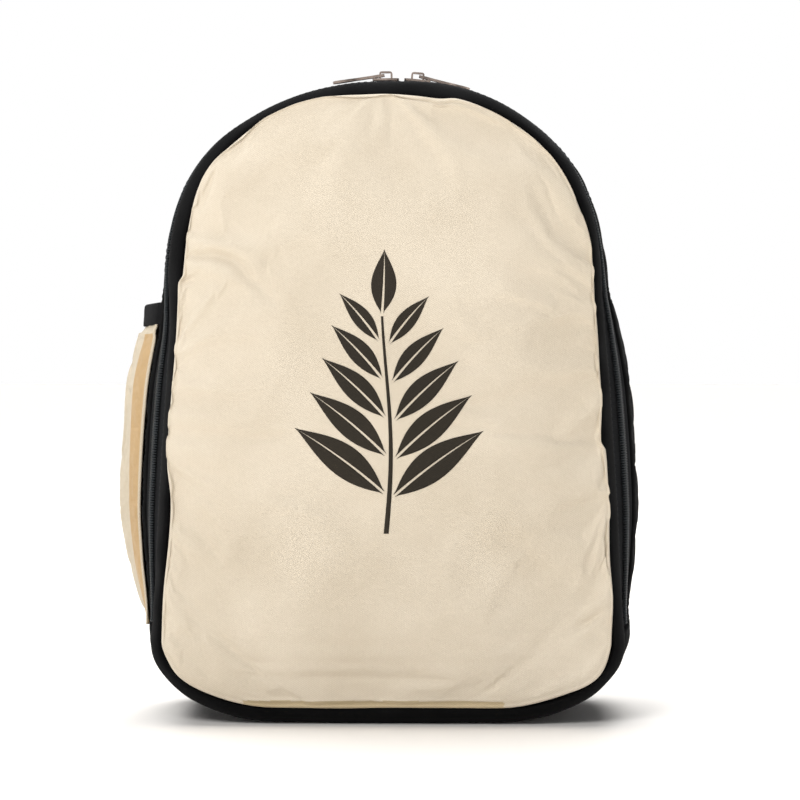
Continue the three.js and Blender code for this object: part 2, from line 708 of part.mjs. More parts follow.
// A slider in its own frame: X towards its pull, Z out of the bag, origin on the tape's face
function sliderBody() {
  const half = SLIDER_LENGTH / 2;
  const wide = SLIDER_WIDTH / 2;
  const outline = new THREE.Shape();
  outline.moveTo(-half, wide * 0.35);
  outline.quadraticCurveTo(-half, wide, -half * 0.45, wide);
  outline.lineTo(half - SLIDER_CORNER, wide * 0.82);
  outline.quadraticCurveTo(half, wide * 0.8, half, wide * 0.6);
  outline.lineTo(half, -wide * 0.6);
  outline.quadraticCurveTo(half, -wide * 0.8, half - SLIDER_CORNER, -wide * 0.82);
  outline.lineTo(-half * 0.45, -wide);
  outline.quadraticCurveTo(-half, -wide, -half, -wide * 0.35);
  outline.closePath();
  const topUnder = GAP + COIL_HEIGHT + GAP;
  const bottomOver = -TAPE_THICKNESS - 3 * GAP;
  const top = plate(outline, SLIDER_PLATE).translate(0, 0, topUnder + SLIDER_PLATE / 2);
  const bottom = plate(outline, SLIDER_BASE).translate(0, 0, bottomOver - SLIDER_BASE / 2);
  const postHeight = topUnder - bottomOver + SLIDER_BASE;
  const post = new THREE.BoxGeometry(POST_LENGTH, POST_WIDTH, postHeight)
    .translate(-POST_AT - POST_LENGTH / 2, 0, bottomOver - SLIDER_BASE / 2 + postHeight / 2);
  return joined([top, bottom, post, bridge().translate(0, 0, topUnder + SLIDER_PLATE)]);
}

// The arch over a slider that holds its pull, standing on Z 0
function bridge() {
  const inside = BRIDGE_INSIDE_LENGTH / 2;
  const out = inside + BRIDGE_BAR;
  const high = BRIDGE_INSIDE_HEIGHT + BRIDGE_BAR;
  const foot = -SLIDER_PLATE / 2;
  const arch = new THREE.Shape();
  arch.moveTo(-out, foot);
  arch.lineTo(-out, high * 0.55);
  arch.quadraticCurveTo(-out, high, -out + high * 0.45, high);
  arch.lineTo(out - high * 0.35, high);
  arch.quadraticCurveTo(out, high, out, high * 0.6);
  arch.lineTo(out, foot);
  arch.lineTo(inside, foot);
  arch.lineTo(inside, BRIDGE_INSIDE_HEIGHT);
  arch.lineTo(-inside, BRIDGE_INSIDE_HEIGHT);
  arch.lineTo(-inside, foot);
  arch.closePath();
  return plate(arch, BRIDGE_WIDTH).rotateX(Math.PI / 2);
}

// A pull in its own frame: it turns about Y at the origin and lies along X
function pullTab() {
  const eye = BRIDGE_WIDTH / 2 + PULL_EYE_ROOM;
  const arm = eye + PULL_BAR;
  const bar = PULL_BAR / 2;
  const wide = PULL_WIDTH / 2;
  const waist = wide * 0.62;
  const eyeEnd = bar + PULL_EYE_LENGTH;
  const outline = new THREE.Shape();
  outline.moveTo(-bar, -arm);
  outline.lineTo(eyeEnd, -arm);
  outline.quadraticCurveTo(eyeEnd + PULL_NECK_BEND, -waist, eyeEnd + PULL_NECK, -waist);
  outline.lineTo(PULL_LENGTH * 0.55, -waist);
  outline.quadraticCurveTo(PULL_LENGTH * 0.68, -wide, PULL_LENGTH - wide, -wide);
  outline.absarc(PULL_LENGTH - wide, 0, wide, -Math.PI / 2, Math.PI / 2, false);
  outline.quadraticCurveTo(PULL_LENGTH * 0.68, wide, PULL_LENGTH * 0.55, waist);
  outline.lineTo(eyeEnd + PULL_NECK, waist);
  outline.quadraticCurveTo(eyeEnd + PULL_NECK_BEND, waist, eyeEnd, arm);
  outline.lineTo(-bar, arm);
  outline.closePath();
  const hole = new THREE.Path();
  hole.moveTo(bar, -eye);
  hole.lineTo(bar, eye);
  hole.lineTo(eyeEnd, eye);
  hole.lineTo(eyeEnd, -eye);
  hole.closePath();
  const slot = new THREE.Path();
  const slotAt = PULL_LENGTH - wide - PULL_SLOT_MARGIN;
  slot.absellipse(slotAt, 0, wide * 0.55, wide * 0.42, 0, Math.PI * 2, true);
  outline.holes.push(hole, slot);
  return plate(outline, PULL_THICKNESS, 3);
}

// Point over the zip's middle line, at a distance out from the tape
function overZip(way, out) {
  return sidePoint(way, tapeOut(ZIP_MIDDLE, seamAt(way).share) + out, ZIP_MIDDLE);
}

function slidersAndPulls() {
  const barReach = Math.hypot(PULL_BAR, PULL_THICKNESS) / 2 + GAP;
  const hingeX = BRIDGE_INSIDE_LENGTH / 2 - barReach;
  const coilTop = GAP + COIL_HEIGHT;
  const hingeUp = coilTop + GAP + SLIDER_PLATE + BRIDGE_INSIDE_HEIGHT - barReach;
  for (const { side, way, points } of SLIDERS) {
    const reach = (mm) => way + (points * mm) / HALF_LENGTH;
    const origin = overZip(way, 0);
    const across = new THREE.Vector3(0, -points, 0);
    const back = overZip(reach(-SLIDER_LENGTH / 2), 0);
    const forward = overZip(reach(SLIDER_LENGTH / 2), 0).sub(back).normalize();
    const outward = new THREE.Vector3().crossVectors(forward, across);
    const slider = new THREE.Group();
    slider.position.copy(origin);
    slider.quaternion.setFromRotationMatrix(new THREE.Matrix4().makeBasis(forward, across, outward));
    backpack.add(slider);
    add(`slider_${side}`, sliderBody(), NICKEL, slider);

    const hinge = origin.clone().addScaledVector(forward, hingeX).addScaledVector(outward, hingeUp);
    const tip = overZip(reach(hingeX + PULL_LENGTH), coilTop + PULL_TIP_LIFT + PULL_THICKNESS / 2);
    const lie = tip.sub(hinge);
    const pull = add(`pull_${side}`, pullTab(), NICKEL, slider);
    pull.position.set(hingeX, 0, hingeUp);
    pull.rotation.y = Math.atan2(-lie.dot(outward), lie.dot(forward));
  }
}

// Way round of the left side at a height, found by halving
function leftWayAt(height) {
  let low = CURVE_ENDS[1] / HALF_LENGTH;
  let high = CURVE_ENDS[2] / HALF_LENGTH;
  for (let i = 0; i < HALVINGS; i++) {
    const middle = (low + high) / 2;
    if (seamAt(middle).z < height) low = middle;
    else high = middle;
  }
  return 2 - (low + high) / 2;
}

const POCKET_DEPTHS = {
  front: BAND_DEPTH + ZIP_OPENING + POCKET_MARGIN,
  rear: TOTAL_DEPTH - POCKET_REAR_MARGIN,
};

// Arch of the pocket across its width, 0 at both seams and 1 in the middle
function pocketArch(across) {
  return Math.sin(Math.PI * across) ** POCKET_ARCH_POWER;
}

// Point of the pocket: across from its front to its rear seam, up its height, out from the gusset
function pocketPoint(across, height, out, lean = 0) {
  const depth = POCKET_DEPTHS.front + (POCKET_DEPTHS.rear - POCKET_DEPTHS.front) * across;
  const way = leftWayAt(height);
  const rise = (height - POCKET_FOOT_HEIGHT) / (POCKET_RIM_HEIGHT - POCKET_FOOT_HEIGHT);
  const bulge = POCKET_BULGE * along(POCKET_SECTIONS, rise) * pocketArch(across);
  const base = outAt(depth, seamAt(way).share) + 2 * GAP;
  const point = sidePoint(way, base + out + bulge, depth);
  return new THREE.Vector3(point.x, point.y, height - POCKET_RIM_DIP * pocketArch(across) * lean);
}

// Shares from 0 to 1 in this many even places
function evenShares(count) {
  return Array.from({ length: count }, (_, i) => i / (count - 1));
}

function sidePocket() {
  const row = (up, out) => evenShares(POCKET_COLUMNS).map((across) => {
    const height = POCKET_FOOT_HEIGHT + (POCKET_RIM_HEIGHT - POCKET_FOOT_HEIGHT) * up;
    return pocketPoint(across, height, out, up ** 3);
  });
  const grid = (out) => evenShares(POCKET_ROWS).map((up) => row(up, out));
  add('side_pocket', sheet(grid(POCKET_WALL), grid(0)), CANVAS);
}

// The tape folded over the pocket's rim
function pocketBinding() {
  const low = POCKET_RIM_HEIGHT + GAP;
  const high = low + BINDING_HEIGHT;
  const sections = evenShares(POCKET_COLUMNS).map((across) => {
    const corner = (out, height) => pocketPoint(across, height, out, 1);
    return [corner(BINDING_THICKNESS, low), corner(BINDING_THICKNESS, high), corner(0, high), corner(0, low)];
  });
  add('pocket_binding', sweep(sections, false), WEBBING);
}

// Y of the back panel's surface at a point, with the clearance that a sewn piece keeps
function onBack(x, z) {
  return REAR_Y + GAP + backRise(x, z) + GAP;
}

// Lowest Y at which a flat piece of this half width clears the back panel around a point
function seatOnBack(x, z, half) {
  const spots = [[-half, 0], [0, 0], [half, 0], [-half, -half], [-half, half], [0, -half], [0, half]];
  return Math.max(...spots.map(([dx, dz]) => onBack(x + dx, z + dz))) + GAP;
}

// The carrying loop: sewn flat at both ends and bowed out between them
function haulLoop() {
  const low = LOOP_HEIGHT - LOOP_WIDTH / 2;
  const high = LOOP_HEIGHT + LOOP_WIDTH / 2;
  const sections = evenShares(LOOP_STEPS + 1).map((part) => {
    const share = 2 * part - 1;
    const x = share * LOOP_HALF_LENGTH;
    const free = Math.min(Math.abs(share) / LOOP_FREE_SHARE, 1);
    const lift = Math.cos((free * Math.PI) / 2) ** LOOP_LIFT_POWER;
    const inner = seatOnBack(x, low, 0) + LOOP_BOW * lift;
    const outer = inner + LOOP_THICKNESS;
    const corners = [[inner, low], [inner, high], [outer, high], [outer, low]];
    return corners.map(([y, z]) => new THREE.Vector3(x, y, z));
  });
  add('haul_loop', sweep(sections, false), WEBBING);
}

// Centre line of a padded strap, from where it is sewn on to its lower end
function strapLine(side) {
  const drop = STRAP_TOP_HEIGHT - STRAP_END_HEIGHT;
  const lowSpread = BASE_HALF_WIDTH - STRAP_LOW_INSET;
  return STRAP_LINE.map((row) => {
    const x = STRAP_TOP_SPREAD + (lowSpread - STRAP_TOP_SPREAD) * row.spread;
    const z = STRAP_TOP_HEIGHT - drop * row.drop;
    const inner = seatOnBack(x, z, STRAP_WIDTH / 2);
    return new THREE.Vector3(side * x, inner + STRAP_THICKNESS / 2 + STRAP_BOW * row.bow, z);
  });
}

function straps() {
  for (const [name, side] of [['left', -1], ['right', 1]]) {
    const line = strapLine(side);
    const width = (share) => STRAP_WIDTH * along(STRAP_TAPER, share);
    add(`strap_${name}`, ribbon(smooth(line, STRAP_STEPS), STRAP_THICKNESS, width, STRAP_EDGE), BLACK_CLOTH);
    strapEnd(name, line);
  }
}

// The ladder lock under a strap, the keeper that holds it, and the webbing down to the foot of the back
function strapEnd(name, line) {
  const end = line[line.length - 1];
  const down = end.clone().sub(line[line.length - 2]).setX(0).normalize();
  const up = down.clone().negate();
  const out = new THREE.Vector3(0, up.z, -up.y);
  const turn = WEBBING_THICKNESS / 2 + GAP;
  const keeperRoom = STRAP_THICKNESS / 2 + GAP;
  const topBarAt = LOCK_SLOT + LOCK_BAR;
  const middle = end.clone().addScaledVector(down, keeperRoom + LOCK_BAR * 1.5 + topBarAt);
  const at = (rise, outwards) => middle.clone().addScaledVector(up, rise).addScaledVector(out, outwards);

  const lock = new THREE.Group();
  lock.position.copy(middle);
  lock.quaternion.setFromRotationMatrix(new THREE.Matrix4().makeBasis(new THREE.Vector3(-1, 0, 0), up, out));
  backpack.add(lock);
  add(`ladder_lock_${name}`, ladderLock(), PLASTIC, lock);

  const face = LOCK_THICKNESS / 2 + turn;
  const wrap = (centre, way) => {
    const half = LOCK_BAR / 2;
    const corner = turn * Math.SQRT1_2;
    const behind = [
      [half, -face], [half + corner, -LOCK_THICKNESS / 2 - corner], [half + turn, -LOCK_THICKNESS / 2],
    ];
    const before = behind.map(([far, side]) => [far, -side]).reverse();
    return [...behind, ...before].map(([far, side]) => at(centre + way * far, side));
  };
  const keeperTop = topBarAt + LOCK_BAR * 1.5 + keeperRoom - GAP;
  const keeper = [at(keeperTop, -face), ...wrap(topBarAt, -1), at(keeperTop, face)];
  add(`strap_keeper_${name}`, ribbon(keeper, WEBBING_THICKNESS, () => WEBBING_WIDTH), WEBBING);

  const seat = (z) => seatOnBack(Math.abs(end.x), z, WEBBING_WIDTH / 2) + WEBBING_THICKNESS / 2;
  const sewnTop = WEBBING_FOOT_HEIGHT + WEBBING_SEWN;
  const lowEnd = -topBarAt - LOCK_BAR;
  const tail = (share) => at(lowEnd, face + GAP).add(new THREE.Vector3(0, 0, -WEBBING_TAIL * share));
  const webbing = [
    new THREE.Vector3(end.x, seat(WEBBING_FOOT_HEIGHT), WEBBING_FOOT_HEIGHT),
    new THREE.Vector3(end.x, seat(sewnTop), sewnTop),
    at(lowEnd, -face - GAP),
    ...wrap(0, 1),
    tail(0),
    tail(0.5),
    tail(1),
  ];
  add(`webbing_${name}`, ribbon(webbing, WEBBING_THICKNESS, () => WEBBING_WIDTH), WEBBING);
}

// A ladder lock in its own frame: bars along X, its top towards +Y, origin in its middle bar
function ladderLock() {
  const inside = WEBBING_WIDTH / 2 + LOCK_ROOM;
  const wide = inside + LOCK_RAIL;
  const top = LOCK_SLOT + LOCK_BAR * 1.5;
  const outline = new THREE.Shape();
  outline.moveTo(-wide, -top + LOCK_CORNER);
  outline.lineTo(-wide + LOCK_CORNER, -top);
  outline.lineTo(wide - LOCK_CORNER, -top);
  outline.lineTo(wide, -top + LOCK_CORNER);
  outline.lineTo(wide, top - LOCK_CORNER);
  outline.lineTo(wide - LOCK_CORNER, top);
  outline.lineTo(-wide + LOCK_CORNER, top);
  outline.lineTo(-wide, top - LOCK_CORNER);
  outline.closePath();
  for (const low of [LOCK_BAR / 2, -LOCK_BAR / 2 - LOCK_SLOT]) {
    const slot = new THREE.Path();
    slot.moveTo(-inside, low);
    slot.lineTo(-inside, low + LOCK_SLOT);
    slot.lineTo(inside, low + LOCK_SLOT);
    slot.lineTo(inside, low);
    slot.closePath();
    outline.holes.push(slot);
  }
  return plate(outline, LOCK_THICKNESS);
}

frontPanel();
frontBand();
zipTapes();
zipCoils();
slidersAndPulls();
gusset();
backPanel();
sidePocket();
pocketBinding();
haulLoop();
straps();

export default backpack;
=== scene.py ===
import math

import bmesh
import bpy
import numpy as np
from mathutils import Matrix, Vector
from mathutils.bvhtree import BVHTree


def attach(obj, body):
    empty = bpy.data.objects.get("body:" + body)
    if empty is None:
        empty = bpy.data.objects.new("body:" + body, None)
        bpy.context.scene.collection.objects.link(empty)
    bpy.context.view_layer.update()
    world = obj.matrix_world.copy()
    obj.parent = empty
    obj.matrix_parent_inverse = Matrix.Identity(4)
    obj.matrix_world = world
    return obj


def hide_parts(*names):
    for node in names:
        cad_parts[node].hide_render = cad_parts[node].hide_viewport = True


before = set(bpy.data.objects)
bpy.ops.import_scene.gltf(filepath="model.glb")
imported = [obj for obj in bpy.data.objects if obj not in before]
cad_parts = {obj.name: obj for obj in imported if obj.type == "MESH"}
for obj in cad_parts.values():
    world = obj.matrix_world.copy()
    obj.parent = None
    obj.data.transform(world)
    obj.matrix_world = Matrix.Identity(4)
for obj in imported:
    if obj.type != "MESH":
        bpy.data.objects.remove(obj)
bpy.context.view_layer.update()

MM = 0.001

# Outline of the front seam, the same as the solids
PANEL_HEIGHT = 320 * MM
SHOULDER_HALF_WIDTH = 108 * MM
BASE_HALF_WIDTH = 119.5 * MM
ARCH_HEIGHT = 106 * MM
ARCH_POWER = 2.5
CORNER_WIDTH = 60 * MM
CORNER_HEIGHT = 35 * MM

# Sides, from the front seam back to the rear seam
BAND_DEPTH = 17 * MM
ZIP_OPENING = 25 * MM
GUSSET_DEPTH = 70 * MM
FLARE = 9 * MM
SIDE_BULGE = 7.5 * MM
REAR_FLARE = 3 * MM
REST_FLATTENING = 1 * MM
TOTAL_DEPTH = BAND_DEPTH + ZIP_OPENING + GUSSET_DEPTH
FRONT_Y = -TOTAL_DEPTH / 2
REAR_Y = TOTAL_DEPTH / 2
ZIP_MIDDLE = BAND_DEPTH + ZIP_OPENING / 2
TAPE_RECESS = 1.2 * MM

# Crown of the panels
FRONT_CROWN = 11 * MM
BACK_CROWN = 4 * MM
EDGE_PUFF = 2.6 * MM
EDGE_REACH = 5 * MM
CROWN_POWER = 2.4

# Side pocket
POCKET_RIM = 209.5 * MM
POCKET_FOOT = 48 * MM
POCKET_BULGE = 14.6 * MM
POCKET_FRONT = BAND_DEPTH + ZIP_OPENING + 3 * MM
POCKET_REAR = TOTAL_DEPTH - 8 * MM
POCKET_DIP = 1.5 * MM
BINDING_HEIGHT = 11.5 * MM

# Tables shared with the solids: at is the share of the way, the rest are shares of a named size
FLARE_ROUND = [(0, 1.08), (0.2, 0.94), (0.3, 0.98), (0.58, 0.98), (0.68, 0.82), (0.78, 0.68),
               (0.88, 0.64), (0.94, 0.8), (0.97, 0.9), (1, 0.93)]
BULGE_ROUND = [(0, 0), (0.29, 0), (0.36, 0.6), (0.42, 1), (0.54, 1), (0.61, 0.55), (0.67, 0.06),
               (0.75, 0), (1, 0)]
BAND_SLOPE = [(0, 0), (0.25, 0.4), (0.55, 0.76), (1, 1)]
GUSSET_OUT = [(0, 1), (0.3, 1.12), (0.65, 1.1), (0.87, 1.02), (1, 1)]
GUSSET_REAR = [(0, 0), (0.3, 0), (0.65, 0.05), (0.87, 0.45), (1, 1)]
BULGE_DEPTH = [(0, 0), (0.05, 0.06), (0.15, 0.28), (0.26, 0.64), (0.4, 1), (0.7, 1), (1, 0)]
BAND_REACH = [(0, 1), (0.17, 0.92), (0.27, 0.62), (0.36, 0.46), (0.6, 0.46), (0.74, 0.62), (0.85, 0.88),
              (0.92, 1), (1, 1)]
POCKET_OUT = [(0, 0.02), (0.09, 0.32), (0.22, 0.56), (0.35, 0.66), (0.5, 0.75), (0.65, 0.84), (0.8, 0.93),
              (0.9, 0.87), (0.965, 0.72), (1, 0.56), (1.08, 0.44)]
BINDING_OUT = [(0.9, 0.62), (1, 0.58), (1.08, 0.66)]


def along(table, share):
    """Value of a table at shares, by the same smooth steps between its rows as the solids use."""
    at, out = np.array(table, float).T
    share = np.clip(np.asarray(share, float), at[0], at[-1])
    nxt = np.clip(np.searchsorted(at, share, side="left"), 1, len(at) - 1)
    a, b = nxt - 1, nxt
    before, after = np.maximum(a - 1, 0), np.minimum(b + 1, len(at) - 1)
    step = at[b] - at[a]
    slope_in = (out[b] - out[before]) / (at[b] - at[before])
    slope_out = (out[after] - out[a]) / (at[after] - at[a])
    t = (share - at[a]) / step
    rise = out[b] - out[a]
    bend = (slope_in * step - rise) * (1 - t) + (rise - slope_out * step) * t
    return out[a] + rise * t + t * (1 - t) * bend


LIFT = FLARE * FLARE_ROUND[0][1] - REST_FLATTENING
OUTLINE_STEPS = 4000
TANGENT_SPREAD = 20


def half_outline():
    """Right half of the front seam from the bottom's middle to the top, at even steps of length."""
    corner_x = BASE_HALF_WIDTH - CORNER_WIDTH
    shoulder_z = PANEL_HEIGHT - ARCH_HEIGHT
    turn = np.linspace(0, math.pi / 2, 400)
    bottom = np.stack([np.linspace(0, corner_x, 50), np.zeros(50)], 1)
    corner = np.stack([corner_x + CORNER_WIDTH * np.sin(turn), CORNER_HEIGHT * (1 - np.cos(turn))], 1)
    side = np.stack([np.linspace(BASE_HALF_WIDTH, SHOULDER_HALF_WIDTH, 100),
                     np.linspace(CORNER_HEIGHT, shoulder_z, 100)], 1)
    arch = np.stack([SHOULDER_HALF_WIDTH * np.clip(np.cos(turn), 0, 1) ** (2 / ARCH_POWER),
                     shoulder_z + ARCH_HEIGHT * np.sin(turn) ** (2 / ARCH_POWER)], 1)
    path = np.concatenate([bottom, corner[1:], side[1:], arch[1:]])
    length = lengths_along(path)
    even = np.linspace(0, length[-1], OUTLINE_STEPS)
    return np.stack([np.interp(even, length, path[:, 0]), np.interp(even, length, path[:, 1])], 1), length[-1]


def lengths_along(path):
    """Distance of each point of a line from its start."""
    return np.concatenate([[0], np.cumsum(np.linalg.norm(np.diff(path, axis=0), axis=1))])


def outline_tangents():
    """Directions along the half outline, smoothed over its neighbours, level at both ends."""
    raw = np.gradient(HALF, axis=0)
    raw /= np.hypot(*raw.T)[:, None]
    mean = np.ones(2 * TANGENT_SPREAD + 1) / (2 * TANGENT_SPREAD + 1)
    padded = np.pad(raw, ((TANGENT_SPREAD, TANGENT_SPREAD), (0, 0)), "edge")
    smooth = np.stack([np.convolve(column, mean, "valid") for column in padded.T], 1)
    smooth[0] = (1, 0)
    smooth[-1] = (-1, 0)
    return smooth


HALF, HALF_LENGTH = half_outline()
SHARES = np.linspace(0, 1, len(HALF))
TANGENT = outline_tangents()
ZIP_FOOT_RISE = 4 * MM
SIDE_FOOT = float(np.interp(CORNER_HEIGHT + ZIP_FOOT_RISE, HALF[:, 1], SHARES))


def seam_at(way):
    """Points, outward normals and shares on the front seam. way runs 0 at the bottom's middle, up the
    right side to 1 at the top and down the left side to 2."""
    way = np.asarray(way, float) % 2
    share = np.where(way <= 1, way, 2 - way)
    side = np.where(way <= 1, 1.0, -1.0)
    x = np.interp(share, SHARES, HALF[:, 0]) * side
    z = np.interp(share, SHARES, HALF[:, 1]) + LIFT
    nx = np.interp(share, SHARES, TANGENT[:, 1]) * side
    nz = -np.interp(share, SHARES, TANGENT[:, 0])
    size = np.hypot(nx, nz)
    return x, z, nx / size, nz / size, share


def out_at(depth, share):
    """Outward distance of the side from the seam outline at a depth behind the front seam."""
    depth, share = np.broadcast_arrays(np.asarray(depth, float), share)
    flare = FLARE * along(FLARE_ROUND, share)
    swell = SIDE_BULGE * along(BULGE_ROUND, share) * along(BULGE_DEPTH, depth / TOTAL_DEPTH)
    back = np.clip((depth - BAND_DEPTH - ZIP_OPENING) / GUSSET_DEPTH, 0, 1)
    rear = along(GUSSET_REAR, back)
    gusset = flare * along(GUSSET_OUT, back) * (1 - rear) + REAR_FLARE * rear
    reach = along(BAND_REACH, share)
    band = flare * reach * along(BAND_SLOPE, np.clip(depth / BAND_DEPTH, 0, 1))
    tape = flare * (reach + (1 - reach) * np.clip((depth - BAND_DEPTH) / ZIP_OPENING, 0, 1))
    side = np.where(depth <= BAND_DEPTH, band, np.where(back <= 0, tape, gusset))
    return side + swell


# The cloth stands out a little more than the solids do here: way round, then mm
FULLNESS = [(0, 0), (0.84, 0), (0.89, 0.9), (0.94, 1.2), (0.98, 0), (1.14, 0), (1.19, 2.2), (1.24, 3.6),
            (1.31, 3.8), (1.35, 2.8), (1.385, 0.6), (1.41, 0), (2, 0)]
FULLNESS_DEPTH = [(0, 0), (0.15, 1), (0.6, 0.9), (1, 0)]


def side_points(way, out, depth):
    """Points on the side of the bag, kept off the floor."""
    x, z, nx, nz, _ = seam_at(way)
    depth = np.broadcast_to(depth, out.shape)
    out = out + along(FULLNESS, np.asarray(way) % 2) * along(FULLNESS_DEPTH, depth / TOTAL_DEPTH) * MM
    return np.stack([x + nx * out, FRONT_Y + depth, np.maximum(z + nz * out, 0)], -1)


# Meshes

def new_object(name, points, faces, material, uv=None):
    """A smooth mesh object. uv gives one pair of metres for each corner of each face."""
    mesh = bpy.data.meshes.new(name)
    mesh.from_pydata([tuple(p) for p in points], [], [tuple(int(i) for i in f) for f in faces])
    mesh.validate()
    if uv is not None:
        layer = mesh.uv_layers.new(name="cloth")
        layer.data.foreach_set("uv", np.asarray(uv, np.float32).ravel())
    mesh.polygons.foreach_set("use_smooth", [True] * len(mesh.polygons))
    if material is not None:
        mesh.materials.append(material)
    piece = bpy.data.objects.new(name, mesh)
    bpy.context.scene.collection.objects.link(piece)
    return piece


def grid_faces(rows, columns, close_rows=False, close_columns=False):
    """Quads of a grid of points, and the row and column of each corner without wrapping."""
    r = np.arange(rows if close_rows else rows - 1)
    c = np.arange(columns if close_columns else columns - 1)
    r, c = np.meshgrid(r, c, indexing="ij")
    corners = [(r, c), (r, c + 1), (r + 1, c + 1), (r + 1, c)]
    faces = np.stack([(a % rows) * columns + b % columns for a, b in corners], -1).reshape(-1, 4)
    spots = np.stack([np.stack([a, b], -1) for a, b in corners], 2).reshape(-1, 2)
    return faces, spots


def tube_faces(sections, sides):
    """Faces of a tube closed at both ends, as lists of its point numbers."""
    around, _ = grid_faces(sections, sides, False, True)
    total = sections * sides
    return around.tolist() + [list(range(sides)), list(range(total - 1, total - sides - 1, -1))]


def grid_object(name, grid, material, close_rows=False, close_columns=False, uv_steps=None, flip=False):
    """An object from a grid of points. uv_steps are the metres along rows and columns for each point."""
    rows, columns = grid.shape[:2]
    faces, spots = grid_faces(rows, columns, close_rows, close_columns)
    uv = None
    if uv_steps is not None:
        down, over = uv_steps
        uv = np.stack([down[spots[:, 0]], over[spots[:, 1]]], -1)
    if flip:
        faces = faces[:, ::-1]
        uv = None if uv is None else uv.reshape(-1, 4, 2)[:, ::-1].reshape(-1, 2)
    return new_object(name, grid.reshape(-1, 3), faces, material, uv)


def swept(name, ways, out, depth, material, ring=True):
    """A closed body swept along the seam. Each way has a row of outs and depths round a closed loop."""
    points = side_points(ways[:, None], out, depth)
    run = np.hypot(np.diff(out[0], append=out[0, :1]), np.diff(depth[0], append=depth[0, :1]))
    over = np.concatenate([[0], np.cumsum(run)])
    down = np.concatenate([ways, ways[:1] + 2]) * HALF_LENGTH
    piece = grid_object(name, points, material, ring, True, (down, over), True)
    if not ring:
        cap_ends(piece, points.shape[1])
    return piece


def cap_ends(piece, count):
    """Closes the two ends of a bar whose sections have this many points."""
    mesh = piece.data
    total = len(mesh.vertices)
    bm = bmesh.new()
    bm.from_mesh(mesh)
    bm.verts.ensure_lookup_table()
    bm.faces.new([bm.verts[i] for i in range(count)])
    bm.faces.new([bm.verts[i] for i in range(total - 1, total - count - 1, -1)])
    bmesh.ops.recalc_face_normals(bm, faces=bm.faces)
    bm.to_mesh(mesh)
    bm.free()


def ripple(x, seed, low, high):
    """A smooth repeating ripple with between low and high crests in one turn, about -1 to 1."""
    rng = np.random.default_rng(seed)
    total = np.zeros_like(np.asarray(x, float))
    for k in range(low, high + 1):
        total = total + np.sin(2 * math.pi * (k * x + rng.random())) * rng.uniform(0.3, 1)
    return total / (high - low + 1) ** 0.5


# Cloth that settles by simulation

SETTLE_FRAMES = 20
SETTLE_QUALITY = 5
TINY = 1e-12


def settled(piece, held, pressure, slack):
    """How far each point of a piece moves when its cloth settles under air pressure from inside, with
    some points held. slack is the cloth's spare length as a share. Nothing of the simulation is left."""
    count = len(piece.data.vertices)
    scene = bpy.context.scene
    group = piece.vertex_groups.new(name="held")
    group.add([int(i) for i in held], 1.0, "REPLACE")
    cloth = piece.modifiers.new("settling", "CLOTH")
    cloth.settings.quality = SETTLE_QUALITY
    cloth.settings.use_pressure = True
    cloth.settings.uniform_pressure_force = pressure
    cloth.settings.vertex_group_mass = "held"
    cloth.settings.effector_weights.gravity = 0
    cloth.settings.shrink_min = -slack
    cloth.collision_settings.use_collision = False
    cloth.point_cache.frame_start = 1
    cloth.point_cache.frame_end = SETTLE_FRAMES
    for step in range(1, SETTLE_FRAMES + 1):
        scene.frame_set(step)
    shape = piece.evaluated_get(bpy.context.evaluated_depsgraph_get()).data
    before, after = np.empty(count * 3), np.empty(count * 3)
    piece.data.vertices.foreach_get("co", before)
    shape.vertices.foreach_get("co", after)
    piece.modifiers.remove(cloth)
    piece.vertex_groups.remove(group)
    scene.frame_set(1)
    return (after - before).reshape(-1, 3)


def capped(moves, cap):
    """Moves bent smoothly so that none is longer than the cap."""
    size = np.linalg.norm(moves, axis=-1, keepdims=True) + TINY
    return moves / size * cap * np.tanh(size / cap)


def spread_out(values, rounds, wrap_rows=False):
    """A grid of values smoothed by taking the mean of neighbours a number of times."""
    for _ in range(rounds):
        if wrap_rows:
            values = (np.roll(values, 1, 0) + 2 * values + np.roll(values, -1, 0)) / 4
        else:
            padded = np.concatenate([values[:1], values, values[-1:]])
            values = (padded[:-2] + 2 * values + padded[2:]) / 4
        padded = np.concatenate([values[:, :1], values, values[:, -1:]], 1)
        values = (padded[:, :-2] + 2 * values + padded[:, 2:]) / 4
    return values


def settled_grid(grid, held, pressure, slack, rounds, gain, cap, wrap_rows=False):
    """Moves of a grid of points after settling: its wrinkles whole, its slow swelling capped."""
    rows, columns = grid.shape[:2]
    faces, _ = grid_faces(rows, columns, wrap_rows)
    piece = new_object("settling_sheet", grid.reshape(-1, 3), faces, None)
    moves = settled(piece, held, pressure, slack).reshape(rows, columns, 3)
    mesh = piece.data
    bpy.data.objects.remove(piece)
    bpy.data.meshes.remove(mesh)
    slow = spread_out(moves, rounds, wrap_rows)
    return capped((moves - slow) * gain, cap) + capped(slow, cap)


def doubled(grid):
    """A grid with one more row and column between each two, halfway."""
    rows = np.empty((grid.shape[0] * 2 - 1, *grid.shape[1:]))
    rows[::2] = grid
    rows[1::2] = (grid[1:] + grid[:-1]) / 2
    both = np.empty((rows.shape[0], grid.shape[1] * 2 - 1, *grid.shape[2:]))
    both[:, ::2] = rows
    both[:, 1::2] = (rows[:, 1:] + rows[:, :-1]) / 2
    return both


# Materials

def shader(name, roughness, metallic=0.0, specular=0.5, sheen=0.0):
    """A material with its node tree and its Principled shader."""
    material = bpy.data.materials.new(name)
    material.use_nodes = True
    tree = material.node_tree
    surface = tree.nodes["Principled BSDF"]
    surface.inputs["Roughness"].default_value = roughness
    surface.inputs["Metallic"].default_value = metallic
    surface.inputs["Specular IOR Level"].default_value = specular
    surface.inputs["Sheen Weight"].default_value = sheen
    return material, tree, surface


